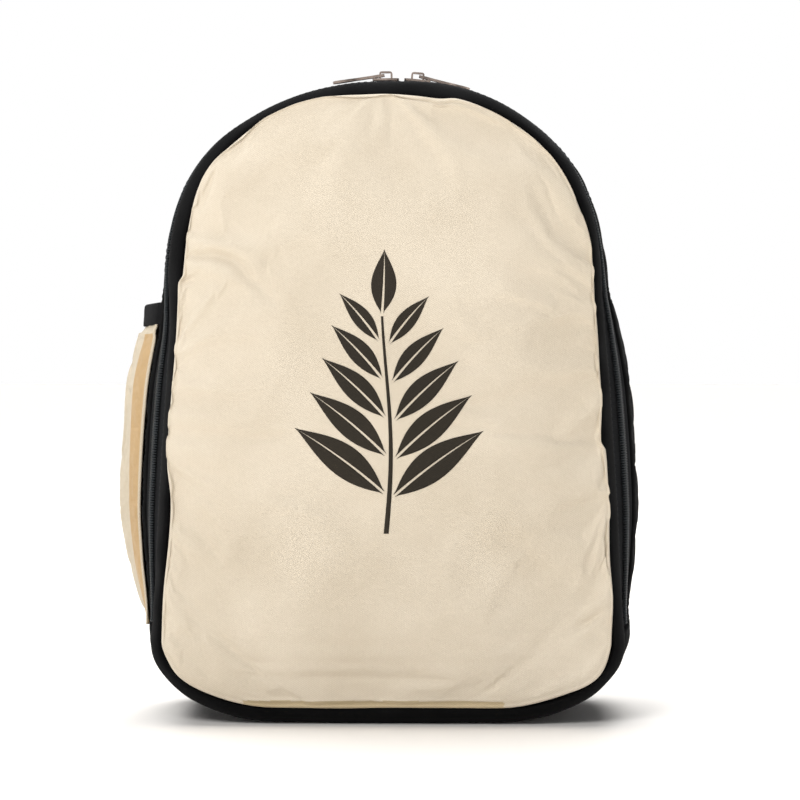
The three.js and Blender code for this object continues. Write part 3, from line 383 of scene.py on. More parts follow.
def node(tree, kind, **values):
    """Adds a node and sets its sockets or its properties by name."""
    made = tree.nodes.new(kind)
    for key, value in values.items():
        if key in made.inputs:
            made.inputs[key].default_value = value
        else:
            setattr(made, key, value)
    return made


def math_node(tree, operation, a, b=None, clamp=False):
    """The result of a sum on sockets or numbers."""
    made = node(tree, "ShaderNodeMath", operation=operation, use_clamp=clamp)
    for socket, value in zip(made.inputs, (a, b)):
        if value is None:
            continue
        if isinstance(value, (int, float)):
            socket.default_value = value
        else:
            tree.links.new(value, socket)
    return made.outputs[0]


def plus(tree, value, factor, added, clamp=False):
    """A value times a factor, plus a socket or a number."""
    made = math_node(tree, "MULTIPLY_ADD", value, factor, clamp)
    if isinstance(added, (int, float)):
        made.node.inputs[2].default_value = added
    else:
        tree.links.new(added, made.node.inputs[2])
    return made


def coordinates(tree, flat):
    """X and Y of the cloth in metres: the front plane where flat, else the piece's own cloth map."""
    split = node(tree, "ShaderNodeSeparateXYZ")
    if flat:
        tree.links.new(node(tree, "ShaderNodeTexCoord").outputs["Object"], split.inputs[0])
        return split.outputs[0], split.outputs[2]
    tree.links.new(node(tree, "ShaderNodeUVMap", uv_map="cloth").outputs[0], split.inputs[0])
    return split.outputs[0], split.outputs[1]


def thread_wave(tree, along_x, along_y, period, turn):
    """A sine from 0 to 1 across lines at an angle in degrees, with a period in metres."""
    cosine = math.cos(math.radians(turn)) * 2 * math.pi / period
    sine = math.sin(math.radians(turn)) * 2 * math.pi / period
    mixed = math_node(tree, "ADD", math_node(tree, "MULTIPLY", along_x, cosine),
                      math_node(tree, "MULTIPLY", along_y, sine))
    return plus(tree, math_node(tree, "SINE", mixed), 0.5, 0.5)


NOISE_ROUGHNESS = 0.55


def noise(tree, scale, detail):
    """Soft noise through the piece, with its scale in crests a metre."""
    made = node(tree, "ShaderNodeTexNoise", Scale=scale, Detail=detail, Roughness=NOISE_ROUGHNESS)
    tree.links.new(node(tree, "ShaderNodeTexCoord").outputs["Object"], made.inputs["Vector"])
    return made.outputs["Fac"]


def ramp(tree, value, stops):
    """A colour ramp through (place, colour) stops."""
    made = node(tree, "ShaderNodeValToRGB")
    tree.links.new(value, made.inputs[0])
    elements = made.color_ramp.elements
    for element, (place, colour) in zip(elements, (stops[0], stops[-1])):
        element.position = place
        element.color = (*colour, 1)
    for place, colour in stops[1:-1]:
        elements.new(place).color = (*colour, 1)
    return made.outputs[0]


def bumped(tree, surface, height, distance):
    """Gives the surface a fine relief of this distance in metres."""
    made = node(tree, "ShaderNodeBump", Strength=1.0, Distance=distance)
    tree.links.new(height, made.inputs["Height"])
    tree.links.new(made.outputs[0], surface.inputs["Normal"])


def coloured(tree, surface, value, low, dark, high, light):
    """Gives the surface a colour from dark at low to light at high."""
    tree.links.new(ramp(tree, value, [(low, dark), (high, light)]), surface.inputs["Base Color"])


def uneven_gloss(tree, surface, scale, detail, spread, least):
    """Roughness that wanders over the surface from a least value."""
    tree.links.new(plus(tree, noise(tree, scale, detail), spread, least), surface.inputs["Roughness"])


# Cloth: periods in metres, turns in degrees, the rest are weights in a sum of shades from 0 to 1
TWILL_PERIOD = 0.9 * MM
TWILL_RELIEF = 0.06 * MM
TWILL_TURN = 58
TWILL_CROSS_TURN = -38
TWILL_CROSS_PERIOD = 0.55
WEAVE_PERIOD = 0.7 * MM
WEAVE_RELIEF = 0.05 * MM
CROSS_RIB_PERIOD = 0.45
BLACK_ROUGHNESS = 0.9
BLACK_SHEEN = 0.02
TAPE_SHEEN = 0.008
WORN = 0.45


def twill(name, dark, light, flat, roughness=0.85, sheen=0.15):
    """Twill cloth: diagonal ribs crossed by threads, with slubs and slow changes of tone."""
    material, tree, surface = shader(name, roughness, specular=0.25, sheen=sheen)
    x, y = coordinates(tree, flat)
    rib = thread_wave(tree, x, y, TWILL_PERIOD, TWILL_TURN)
    thread = thread_wave(tree, x, y, TWILL_PERIOD * TWILL_CROSS_PERIOD, TWILL_CROSS_TURN)
    weave = plus(tree, thread, 0.35, rib)
    tone = plus(tree, noise(tree, 14, 4), 0.55, 0.18)
    fine = plus(tree, noise(tree, 900, 2), 0.22, tone)
    coloured(tree, surface, plus(tree, weave, 0.16, fine, True), 0.25, dark, 0.85, light)
    bumped(tree, surface, plus(tree, noise(tree, 2200, 2), 0.6, weave), TWILL_RELIEF)
    return material


def plain_weave(name, dark, light):
    """Woven cloth with threads both ways, a slow change of tone and slightly uneven gloss."""
    material, tree, surface = shader(name, BLACK_ROUGHNESS, specular=0.03, sheen=BLACK_SHEEN)
    x, y = coordinates(tree, False)
    weave = math_node(tree, "MULTIPLY", thread_wave(tree, x, y, WEAVE_PERIOD, 0),
                      thread_wave(tree, x, y, WEAVE_PERIOD, 90))
    tone = math_node(tree, "MULTIPLY", noise(tree, 60, 4), 0.9)
    coloured(tree, surface, plus(tree, weave, 0.35, tone, True), 0.2, dark, 0.95, light)
    uneven_gloss(tree, surface, 40, 3, 0.16, BLACK_ROUGHNESS - 0.08)
    bumped(tree, surface, weave, WEAVE_RELIEF)
    return material


def ribbed(name, dark, light, period, relief, turn=0):
    """Tape or webbing with close ribs across it and finer threads along them."""
    material, tree, surface = shader(name, 0.85, specular=0.06, sheen=TAPE_SHEEN)
    x, y = coordinates(tree, False)
    rib = thread_wave(tree, x, y, period, turn)
    thread = thread_wave(tree, x, y, period * CROSS_RIB_PERIOD, turn + 90)
    weave = plus(tree, thread, 0.3, rib)
    tone = math_node(tree, "MULTIPLY", noise(tree, 90, 3), 0.7)
    coloured(tree, surface, plus(tree, weave, 0.4, tone, True), 0.2, dark, 0.95, light)
    bumped(tree, surface, weave, relief)
    return material


def moulded(name, colour, roughness, specular=0.5):
    """Moulded plastic with a fine grain and uneven gloss."""
    material, tree, surface = shader(name, roughness, specular=specular)
    coloured(tree, surface, noise(tree, 120, 3), 0.3, colour, 0.75, tuple(c * 1.7 for c in colour))
    uneven_gloss(tree, surface, 300, 2, 0.15, roughness - 0.07)
    bumped(tree, surface, noise(tree, 2500, 2), 0.01 * MM)
    return material


def plated(name, colour, roughness):
    """Plated metal, with soft casting marks and fine scratches in its gloss."""
    material, tree, surface = shader(name, roughness, metallic=1.0)
    coloured(tree, surface, noise(tree, 160, 4), 0.3, tuple(c * WORN for c in colour), 0.6, colour)
    uneven_gloss(tree, surface, 700, 4, 0.25, roughness - 0.1)
    bumped(tree, surface, noise(tree, 500, 3), 0.05 * MM)
    return material


CANVAS_DARK = (0.452, 0.377, 0.270)
CANVAS_LIGHT = (0.69, 0.612, 0.495)
CANVAS_FLAT = twill("canvas_flat", CANVAS_DARK, CANVAS_LIGHT, True)
CANVAS = twill("canvas", (0.40, 0.33, 0.228), (0.61, 0.53, 0.405), False)
# Painted shade: a darker tan for the shade under the fold of the front panel's hem
CANVAS_HEM_PAINTED_SHADE = twill("canvas_hem_painted_shade", (0.36, 0.28, 0.165), (0.56, 0.455, 0.29), True)
# Painted shade: a darker golden tan for the shade and warm bounce light on the pocket's front flank
CANVAS_FLANK_PAINTED_SHADE = twill("canvas_flank_painted_shade", (0.34, 0.215, 0.095), (0.53, 0.365, 0.19), False)
BLACK_CLOTH = plain_weave("black_cloth", (0.0025, 0.0025, 0.0027), (0.0068, 0.0068, 0.0072))
ZIP_TAPE = ribbed("zip_tape", (0.0045, 0.005, 0.0055), (0.013, 0.0135, 0.015), 0.9 * MM, 0.05 * MM)
WEBBING = ribbed("webbing", (0.006, 0.006, 0.0063), (0.019, 0.019, 0.0195), 1.3 * MM, 0.12 * MM, 90)
GROSGRAIN = ribbed("grosgrain", (0.006, 0.006, 0.0065), (0.019, 0.019, 0.02), 0.8 * MM, 0.08 * MM)
COIL = moulded("coil", (0.006, 0.009, 0.011), 0.5, specular=0.3)
NICKEL = plated("nickel", (0.36, 0.29, 0.25), 0.2)
ACETAL = moulded("acetal", (0.011, 0.011, 0.012), 0.4)
THREAD = ribbed("black_thread", (0.014, 0.014, 0.015), (0.045, 0.045, 0.048), 0.4 * MM, 0.03 * MM)
INK = twill("ink", (0.0095, 0.0072, 0.0042), (0.028, 0.022, 0.0145), True, 0.8, 0.0)


def dress(piece, slot, *nodes, body="bag"):
    """The piece stands for these nodes and rides on a body. The slot is not used."""
    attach(piece, body)
    if nodes:
        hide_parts(*nodes)
    return piece


# Panels

MIDDLE_SHARE = 0.47
MIDDLE_Z = LIFT + PANEL_HEIGHT * MIDDLE_SHARE

# Dents and creases of the front panel, read off the photograph: across as a share of the shoulder's
# half width and up as a share of the height, then half sizes and depth in mm, turn in degrees. A
# negative depth stands proud.
FOLDS = [
    (-0.90, 0.737, 10, 2.6, 3, 2.7),
    (-0.77, 0.734, 9, 2.8, -20, 2.9),
    (-0.68, 0.712, 9, 3.2, -47, 2.3),
    (-0.58, 0.678, 11, 4.0, -44, 1.4),
    (-0.82, 0.757, 18, 3.4, -8, -1.5),
    (-0.64, 0.737, 15, 4.2, -42, -0.8),
    (-0.82, 0.712, 15, 4.2, -18, -1.3),
    (-0.60, 0.650, 12, 5.0, -50, -0.5),
    (-0.97, 0.700, 5, 2.2, 12, 2.2),
    (-0.97, 0.66, 14, 4.0, 84, 0.9),
    (-0.70, 0.775, 24, 6.0, 4, 0.8),
    (0.965, 0.145, 7, 2.6, 38, 2.4),
    (1.0, 0.172, 6, 3.0, 20, -1.4),
    (0.93, 0.120, 8, 4.0, 40, -0.8),
    (0.02, 0.955, 10, 2.4, 88, 0.9),
    (-0.07, 0.945, 9, 2.6, 82, 0.6),
    (0.25, 0.96, 8, 3.0, 95, 0.5),
    (0.985, 0.435, 18, 5.0, 66, 1.7),
    (0.95, 0.372, 16, 6.0, 40, -1.0),
    (0.90, 0.52, 22, 8.0, 70, 0.8),
    (0.67, 0.952, 7, 3.0, -40, 1.6),
    (-0.99, 0.375, 16, 5.0, 95, 1.3),
    (-0.92, 0.30, 22, 6.0, 80, 0.8),
    (-0.55, 0.02, 12, 4.0, 0, 0.9),
    (-0.20, 0.035, 16, 4.0, 4, 0.6),
    (0.35, 0.5, 70, 34, 78, 1.0),
    (-0.45, 0.3, 55, 30, 110, 0.9),
    (0.1, 0.8, 60, 28, 20, -0.8),
    (-0.1, 0.055, 70, 2.6, -1, 0.6),
    (-0.05, 0.083, 72, 2.8, 0, 0.65),
    (-0.15, 0.113, 66, 3.0, -2, 0.6),
    (-0.78, 0.11, 26, 3.0, -40, 0.7),
    (-0.86, 0.15, 24, 3.2, -46, 0.6),
    (0.80, 0.13, 26, 3.2, 42, 0.65),
    (0.72, 0.09, 26, 3.0, 34, 0.6),
]

# How far the panel's edge wanders in from the seam line: way round, then mm
EDGE_WANDER = [(0, 0.6), (0.1, 0.8), (0.19, 1.8), (0.232, 0.6), (0.262, 2.4), (0.285, 2.0), (0.324, 0.5),
               (0.365, 0.2), (0.428, -0.7), (0.482, -0.9), (0.492, 1.2), (0.535, -0.6), (0.58, -0.3),
               (0.643, -0.1), (0.706, 0.9), (0.773, 2.0), (0.828, 1.5), (0.869, 0.9), (0.925, -1.0),
               (0.945, 0.5), (0.97, 0), (1, -0.7), (1.03, -0.4), (1.068, -0.9), (1.131, -0.4),
               (1.172, 0.8), (1.227, -0.5), (1.294, 1.4), (1.331, 1.6), (1.341, -0.7), (1.42, -0.8),
               (1.505, -1.8), (1.535, -1.2), (1.572, 1.8), (1.613, 2.0), (1.676, 1.0), (1.72, 1.3),
               (1.745, 2.2), (1.768, 1.4), (1.81, 1.4), (1.9, 0.6), (2, 0.6)]


def fold_depth(x, z):
    """Depth of all the folds together at points of the front panel."""
    total = np.zeros_like(x)
    for across, up, long, wide, turn, deep in FOLDS:
        dx = x - across * SHOULDER_HALF_WIDTH
        dz = z - LIFT - up * PANEL_HEIGHT
        angle = math.radians(turn)
        u = (dx * math.cos(angle) + dz * math.sin(angle)) / (long * MM)
        v = (dz * math.cos(angle) - dx * math.sin(angle)) / (wide * MM)
        total = total + deep * MM * np.exp(-u * u - v * v)
    return total


RIM_CROWDING = 0.5


def disc_map(count):
    """Radius and turn of a square grid bent into a disc, which has no pole in its middle. Its rows lie
    closer together near the rim."""
    a, b = np.meshgrid(np.linspace(-1, 1, count), np.linspace(-1, 1, count), indexing="ij")
    big = np.where(np.abs(a) > np.abs(b), a, b)
    small = np.where(np.abs(a) > np.abs(b), b, a)
    safe = np.where(big == 0, 1, big)
    bend = (math.pi / 4) * small / safe
    turn = np.where(np.abs(a) > np.abs(b), bend, math.pi / 2 - bend) + np.where(big < 0, math.pi, 0)
    radius = np.abs(big)
    return radius * (1 + RIM_CROWDING * (1 - radius)), turn


def rim_loop(count):
    """Grid numbers of the rim of a square grid, in order."""
    top = [(0, c) for c in range(count - 1)]
    right = [(r, count - 1) for r in range(count - 1)]
    bottom = [(count - 1, c) for c in range(count - 1, 0, -1)]
    left = [(r, 0) for r in range(count - 1, 0, -1)]
    return np.array([r * count + c for r, c in top + right + bottom + left])


def bump(distance, middle, half):
    """A smooth hump of height 1 about a middle."""
    return np.exp(-((distance - middle) / half) ** 2)


# The turned hem that shows along the front panel's lower edge, its strip painted darker tan as shade
HEM_LEFT = -75 * MM
HEM_RIGHT = 61 * MM
HEM_TOP = LIFT + 4.8 * MM
HEM_RISE = 0.5 * MM

# Relief beside the panels' seams: heights, then distances in from the edge and half widths
RIM_INSET = 0.3 * MM
RIM_WAVER = 0.3 * MM
WELT_RISE = 0.45 * MM
WELT_AT, WELT_HALF = 0.9 * MM, 0.8 * MM
WELT_GROOVE = 0.35 * MM
GROOVE_AT, GROOVE_HALF = 2.6 * MM, 0.9 * MM
PUCKER_RISE = 0.34 * MM
PUCKER_START, PUCKER_REACH = 1.5 * MM, 9 * MM
SAG_RISE = 0.55 * MM
SAG_AT, SAG_HALF = 16 * MM, 15 * MM
EDGE_FADE = 2 * MM
FOLD_FADE = 1.2 * MM

# Settling of the panels' cloth, calmer towards the foot
PANEL_SLACK = 0.024
PANEL_PRESSURE = 0.8
PANEL_SMOOTHING = 110
PANEL_GAIN = 1.25
PANEL_CAP = 2.0 * MM
CALM_SHARE = 0.35
CALM_HEIGHT = 55 * MM

# How the panels' cloth rolls over behind their seams: mm inwards and mm back, ring by ring
FRONT_SKIRT = [(-0.25, 0.7), (0.1, 1.5), (1.2, 2.4), (3.2, 3.4)]
BACK_SKIRT = [(-0.1, 0.6), (0.5, 1.4), (2.0, 2.4)]
PANEL_STANDOFF = 0.3 * MM


def panel_sheet(count, seam_out, rim_y, towards, crown, folded, seed):
    """The face of a panel as a grid of points, with the seam's normals at each."""
    radius, turn = disc_map(count)
    way = (turn / math.pi + 1.5) % 2
    x, z, nx, nz, _ = seam_at(way)
    inset = RIM_INSET - seam_out + RIM_WAVER * ripple(way / 2, seed, 9, 22)
    if folded:
        inset = inset + along(EDGE_WANDER, way) * MM
    rim_x, rim_z = x - nx * inset, z - nz * inset
    px = rim_x * radius
    pz = MIDDLE_Z + (rim_z - MIDDLE_Z) * radius
    reach = np.hypot(rim_x, rim_z - MIDDLE_Z)
    edge = (1 - radius) * reach
    rise = crown * (1 - radius ** CROWN_POWER) + EDGE_PUFF * (1 - np.exp(-edge / EDGE_REACH))
    welt = WELT_RISE * bump(edge, WELT_AT, WELT_HALF) - WELT_GROOVE * bump(edge, GROOVE_AT, GROOVE_HALF)
    fade = np.exp(-edge / PUCKER_REACH) * (1 - np.exp(-edge / PUCKER_START))
    pucker = ripple(way / 2, seed + 1, 24, 60) * fade
    sag = ripple(way / 2, seed + 2, 5, 12) * bump(edge, SAG_AT, SAG_HALF)
    rise = rise + welt + (PUCKER_RISE * pucker + SAG_RISE * sag) * np.minimum(edge / EDGE_FADE, 1)
    if folded:
        rise = rise - fold_depth(px, pz) * np.minimum(edge / FOLD_FADE, 1)
        inside = np.clip(np.minimum(px - HEM_LEFT, HEM_RIGHT - px) / MM, 0, 1)
        hem = bump(pz, HEM_TOP + 0.7 * MM, 0.7 * MM) - bump(pz, HEM_TOP - MM, MM)
        rise = rise + inside * HEM_RISE * hem
    return np.stack([px, rim_y + towards * rise, pz], -1), nx, nz


def panel(name, material, count, seam_out, rim_y, towards, crown, folded, skirt, seed):
    """A padded panel: a crowned sheet that has settled under pressure, rolls over at its seam and runs
    back inside the bag. Its grid is settled at half its count."""
    half_count = (count + 1) // 2
    grid, nx, nz = panel_sheet(count, seam_out, rim_y, towards, crown, folded, seed)
    coarse = grid[::2, ::2]
    sheet = coarse if towards > 0 else coarse[::-1]
    moves = settled_grid(sheet, rim_loop(half_count), PANEL_PRESSURE, PANEL_SLACK, PANEL_SMOOTHING,
                         PANEL_GAIN, PANEL_CAP)
    moves *= np.interp(sheet[..., 2] - LIFT, (0, CALM_HEIGHT), (CALM_SHARE, 1))[..., None]
    grid = grid + doubled(moves if towards > 0 else moves[::-1])
    points = grid.reshape(-1, 3)
    faces, _ = grid_faces(count, count)
    rim = rim_loop(count)
    rings = [points]
    start = len(points)
    last = rim
    all_faces = [faces]
    for back_in, back in skirt:
        ring = points[rim].copy()
        ring[:, 0] -= nx.ravel()[rim] * back_in * MM
        ring[:, 2] -= nz.ravel()[rim] * back_in * MM
        ring[:, 1] = rim_y - towards * back * MM
        rings.append(ring)
        new = np.arange(start, start + len(rim))
        all_faces.append(np.stack([last, np.roll(last, -1), np.roll(new, -1), new], -1))
        start += len(rim)
        last = new
    return new_object(name, np.concatenate(rings), np.concatenate(all_faces), material)


def front_panel():
    """The front panel, with its measured folds and the turned hem at its foot, painted darker tan as shade.
    """
    piece = panel("front_panel_cloth", CANVAS_FLAT, 241, 0.0, FRONT_Y - PANEL_STANDOFF, -1, FRONT_CROWN,
                  True, FRONT_SKIRT, 11)
    piece.data.materials.append(CANVAS_HEM_PAINTED_SHADE)
    # Faces of the hem strip take the painted shade
    hem = [HEM_LEFT < face.center.x < HEM_RIGHT and face.center.z < HEM_TOP for face in piece.data.polygons]
    piece.data.polygons.foreach_set("material_index", np.array(hem, np.int32))
    tidy_normals(piece)
    dress(piece, "canvas", "front_panel")
    return piece


def back_panel():
    """The panel against the wearer's back."""
    piece = panel("back_panel_cloth", CANVAS_FLAT, 161, REAR_FLARE, REAR_Y + PANEL_STANDOFF, 1, BACK_CROWN,
                  False, BACK_SKIRT, 31)
    tidy_normals(piece)
    dress(piece, "canvas", "back_panel")
    return piece


def tidy_normals(piece):
    """Turns all the faces outwards."""
    bm = bmesh.new()
    bm.from_mesh(piece.data)
    bmesh.ops.recalc_face_normals(bm, faces=bm.faces)
    bm.to_mesh(piece.data)
    bm.free()


# Sides

RING = np.linspace(0, 2, 901)[:-1]

# Sections of the side: mm behind the front seam, and mm out from the plain side
BAND_LINE = [(3.4, -3.6), (1.4, -1.9), (0.5, -0.5), (0.9, 0.3), (2.2, 0.7), (4.2, 0.95), (6.6, 1.0),
             (9.2, 0.95), (11.8, 0.75), (14.0, 0.4), (15.6, 0.05), (16.6, -0.6), (16.9, -1.6),
             (16.4, -2.6), (14.5, -3.0), (12.0, -3.0), (8.0, -3.2), (5.0, -3.4)]
# The same for the gusset, with the first column as a share of its depth
GUSSET_LINE = [(0.012, -2.2), (0, -1.2), (0.006, -0.3), (0.02, 0.25), (0.05, 0.4), (0.1, 0.45),
               (0.17, 0.4), (0.25, 0.3), (0.33, 0.2), (0.42, 0.1), (0.5, 0), (0.58, 0), (0.67, 0),
               (0.75, 0.1), (0.83, 0.2), (0.9, 0.3), (0.95, 0.3), (0.98, 0.1), (1.0, -0.8), (0.985, -2.2)]
BAND_WAVER = 0.35 * MM
BAND_WAVER_AT, BAND_WAVER_HALF = 7 * MM, 5 * MM
GUSSET_WAVER = 0.7 * MM
GUSSET_GAP = 0.3 * MM
GUSSET_WALL = 1.2 * MM
COVERED_LENGTH = 1.2 * MM
CREASE_REACH = 0.08
GUSSET_PRESSURE = 1.0
GUSSET_SLACK = 0.02
GUSSET_SMOOTHING = 20
GUSSET_CAP = 0.55 * MM
SEWN_COLUMNS = 4


def band_section(ways):
    """The black strip behind the front seam: it dips under the panel's edge, puffs up and rolls in
    again beside the zip tape."""
    share = seam_at(ways)[4]
    depth, puff = np.array(BAND_LINE).T * MM
    out = out_at(depth[None, :], share[:, None]) + puff
    wobble = BAND_WAVER * ripple(ways / 2, 5, 12, 40)[:, None] * bump(depth, BAND_WAVER_AT, BAND_WAVER_HALF)
    return out + wobble, np.broadcast_to(depth, out.shape)


def gusset_section(ways):
    """The side wall behind the zip, from the roll beside the tape to the rear seam."""
    share = seam_at(ways)[4]
    steps, puff = np.array(GUSSET_LINE).T
    covered = np.clip((share - SIDE_FOOT) * HALF_LENGTH / COVERED_LENGTH, 0, 1)
    front = BAND_DEPTH + GUSSET_GAP + covered * ZIP_OPENING
    depth = front[:, None] + (TOTAL_DEPTH - front[:, None]) * steps
    out = out_at(depth, share[:, None]) + puff * MM
    middle = np.sin(math.pi * np.clip(steps, 0, 1)) ** 0.7
    turn = ways[:, None] / 2
    folds = 0.5 * ripple(turn + 0.02 * steps, 7, 8, 26) + 0.35 * ripple(turn - 0.03 * steps, 8, 20, 48)
    crease = 0.5 * ripple(turn, 9, 30, 70) * np.exp(-steps / CREASE_REACH)
    crease = crease + 0.5 * ripple(turn, 10, 30, 70) * np.exp(-(1 - steps) / CREASE_REACH)
    return out + (folds * middle + crease * 0.6) * GUSSET_WAVER, depth


def settled_out(out, depth):
    """How far the gusset's cloth settles outwards, found on every second row."""
    ways = RING[::2]
    grid = side_points(ways[:, None], out[::2], depth[::2])
    rows, columns = grid.shape[:2]
    column = np.tile(np.arange(columns), rows)
    held = np.flatnonzero((column < SEWN_COLUMNS) | (column >= columns - SEWN_COLUMNS))
    moves = settled_grid(grid, held, GUSSET_PRESSURE, GUSSET_SLACK, GUSSET_SMOOTHING, 1.0, GUSSET_CAP, True)
    _, _, nx, nz, _ = seam_at(ways)
    outwards = moves[..., 0] * nx[:, None] + moves[..., 2] * nz[:, None]
    full = np.empty_like(out)
    full[::2] = outwards
    full[1::2] = (outwards + np.roll(outwards, -1, 0)) / 2
    return full


def front_band():
    """The black band between the front panel and the zip."""
    piece = swept("front_band_cloth", RING, *band_section(RING), BLACK_CLOTH)
    tidy_normals(piece)
    return dress(piece, "black_cloth", "front_band")


def gusset():
    """A ring of settled cloth with a wall behind its outer face."""
    out, depth = gusset_section(RING)
    out = out + settled_out(out, depth)
    lean_out = np.gradient(out, axis=1)
    lean_depth = np.gradient(depth, axis=1)
    run = np.hypot(lean_out, lean_depth)
    inner_out = out - GUSSET_WALL * lean_depth / run
    inner_depth = depth + GUSSET_WALL * lean_out / run
    all_out = np.concatenate([out, inner_out[:, ::-1]], 1)
    all_depth = np.concatenate([depth, inner_depth[:, ::-1]], 1)
    piece = swept("gusset_cloth", RING, all_out, all_depth, BLACK_CLOTH)
    tidy_normals(piece)
    dress(piece, "black_cloth", "gusset")
    return piece


PIPING_RADIUS = 1.9 * MM
PIPING_OUT = 0.2 * MM
PIPING_BACK = 0.4 * MM


def rear_piping():
    """A piping cord sewn into the rear seam."""
    turns = np.linspace(0, 2 * math.pi, 15)[:-1]
    flat = np.zeros((len(RING), 1))
    out = REAR_FLARE + PIPING_OUT + PIPING_RADIUS * np.sin(turns) + flat
    depth = TOTAL_DEPTH + PIPING_BACK + PIPING_RADIUS * np.cos(turns) + flat
    piece = swept("rear_piping", RING, out, depth, BLACK_CLOTH)
    tidy_normals(piece)
    return dress(piece, "black_cloth")


# Zip

ZIP_FOOT_GAP = 2.5 * MM
TAPE_TUCK = 5 * MM
ZIP_START = SIDE_FOOT + ZIP_FOOT_GAP / HALF_LENGTH
TAPE_START = SIDE_FOOT - TAPE_TUCK / HALF_LENGTH
ZIP_WAYS = np.linspace(TAPE_START, 2 - TAPE_START, 801)
TAPE_THICKNESS = 0.7 * MM
TAPE_LAP = 2 * MM
TAPE_SPLIT = 0.4 * MM


def tape_section(start, end):
    """Outs and depths round a flat tape between two depths, at each of the zip's ways."""
    outer = np.linspace(start, end, 8)
    depth = np.concatenate([outer, outer[::-1]])
    sink = np.repeat([TAPE_RECESS, TAPE_RECESS + TAPE_THICKNESS], 8)
    out = out_at(depth[None, :], seam_at(ZIP_WAYS)[4][:, None]) - sink
    return out, np.broadcast_to(depth, out.shape)


def zip_tapes():
    """The two tapes, with the split between them under the coils."""
    tapes = [("zip_tape_front", BAND_DEPTH - TAPE_LAP, ZIP_MIDDLE - TAPE_SPLIT),
             ("zip_tape_rear", ZIP_MIDDLE + TAPE_SPLIT, BAND_DEPTH + ZIP_OPENING + TAPE_LAP)]
    for name, start, end in tapes:
        piece = swept(name + "_cloth", ZIP_WAYS, *tape_section(start, end), ZIP_TAPE, ring=False)
        dress(piece, "zip_tape", name)


TOOTH_PITCH = 1.35 * MM
TOOTH_SIZE = 0.42 * MM
TOOTH_REACH = 3.1 * MM
# A tooth from the edge of the coil to its head on the far side of the middle: across and up as shares
TOOTH_LINE = [(1.0, 0.30), (0.98, 0.75), (0.8, 1.0), (0.3, 1.05), (-0.12, 1.0), (-0.28, 0.8), (-0.26, 0.45)]
TOOTH_HEIGHT = 1.5 * MM
TOOTH_SIDES = 6
HEAD_ROWS = (4, 5)
HEAD_SIZE = 1.35
COIL_CLEARANCE = 0.1 * MM
# Where the two coils stop beside the sliders: distance to the right of the top's middle
COIL_ENDS = {"left": -4.2 * MM, "right": 17.8 * MM}


def tooth(side):
    """One turn of the coil in its own frame: across the zip, along it, and up from the tape."""
    sections = []
    for k, (across, up) in enumerate(TOOTH_LINE):
        head = HEAD_SIZE if k in HEAD_ROWS else 1.0
        centre = np.array([across * TOOTH_REACH * side, 0, up * TOOTH_HEIGHT])
        before = np.array(TOOTH_LINE[max(k - 1, 0)])
        after = np.array(TOOTH_LINE[min(k + 1, len(TOOTH_LINE) - 1)])
        lean = (after - before) * (TOOTH_REACH, TOOTH_HEIGHT)
        lean = lean / np.hypot(*lean)
        normal = np.array([-lean[1] * side, 0, lean[0]])
        ring = [centre + TOOTH_SIZE * head * (math.cos(a) * np.array([0, 1, 0]) + math.sin(a) * normal)
                for a in np.linspace(0, 2 * math.pi, TOOTH_SIDES + 1)[:-1]]
        sections.append(ring)
    return np.array(sections)


def zip_coil(side, start, end):
    """Both rows of teeth between two ways, joined into one piece that follows the tape."""
    count = int((end - start) * HALF_LENGTH / TOOTH_PITCH)
    points, faces = [], []
    base = tube_faces(len(TOOTH_LINE), TOOTH_SIDES)
    for row, template in ((0, tooth(1)), (0.5, tooth(-1))):
        flat = template.reshape(-1, 3)
        middles = start + (np.arange(count) + 0.25 + row) * TOOTH_PITCH / HALF_LENGTH
        ways = middles[:, None] + flat[None, :, 1] / HALF_LENGTH
        depth = ZIP_MIDDLE + flat[None, :, 0] + 0 * ways
        share = seam_at(ways)[4]
        out = out_at(depth, share) - TAPE_RECESS + COIL_CLEARANCE + flat[None, :, 2]
        placed = side_points(ways, out, depth).reshape(-1, 3)
        for k in range(count):
            shift = len(flat) * k + sum(len(p) for p in points)
            faces.extend([[i + shift for i in face] for face in base])
        points.append(placed)
    piece = new_object(f"zip_teeth_{side}", np.concatenate(points), faces, COIL)
    tidy_normals(piece)
    return dress(piece, "zip_coil", f"zip_coil_{side}")


def zip_coils():
    """The coils from the zip's two ends up to the sliders."""
    zip_coil("right", ZIP_START, 1 - COIL_ENDS["right"] / HALF_LENGTH)
    zip_coil("left", 1 - COIL_ENDS["left"] / HALF_LENGTH, 2 - ZIP_START)


METAL_ROUNDING = 0.28 * MM
PLASTIC_ROUNDING = 0.6 * MM
SHARP_EDGE = math.radians(35)


def hard_parts():
    """The sliders, pulls and ladder locks keep their solids, with rounded edges and a finish."""
    for name in ("slider_left", "slider_right", "pull_left", "pull_right"):
        refinish(name, NICKEL, METAL_ROUNDING)
    for name in ("ladder_lock_left", "ladder_lock_right"):
        refinish(name, ACETAL, PLASTIC_ROUNDING)


def refinish(name, material, rounding):
    """Gives a solid of the frame a finish and rounded edges."""
    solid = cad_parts[name]
    solid.data.materials.clear()
    solid.data.materials.append(material)
    for slot in solid.material_slots:
        slot.material = material
    bevel = solid.modifiers.new("rounded edges", "BEVEL")
    bevel.width = rounding
    bevel.segments = 3
    bevel.limit_method = "ANGLE"
    bevel.angle_limit = SHARP_EDGE


# Pocket

POCKET_STANDOFF = 0.6 * MM
FLANK_SHARE = 0.15
FRONT_CROWDING = 1.35
POCKET_ROWS, POCKET_COLUMNS = 121, 61
POCKET_WALL = 1.1 * MM
POCKET_TUCK = 2 * MM
POCKET_EASE = 1.2
POCKET_THICKNESS = 1.4
POCKET_PRESSURE = 1.5
POCKET_SLACK = 0.03
POCKET_SMOOTHING = 40
POCKET_CAP = 1.4 * MM
POCKET_ARCH = 0.75
WELT_COLUMNS = 2
FLANK_TOP = 0.95
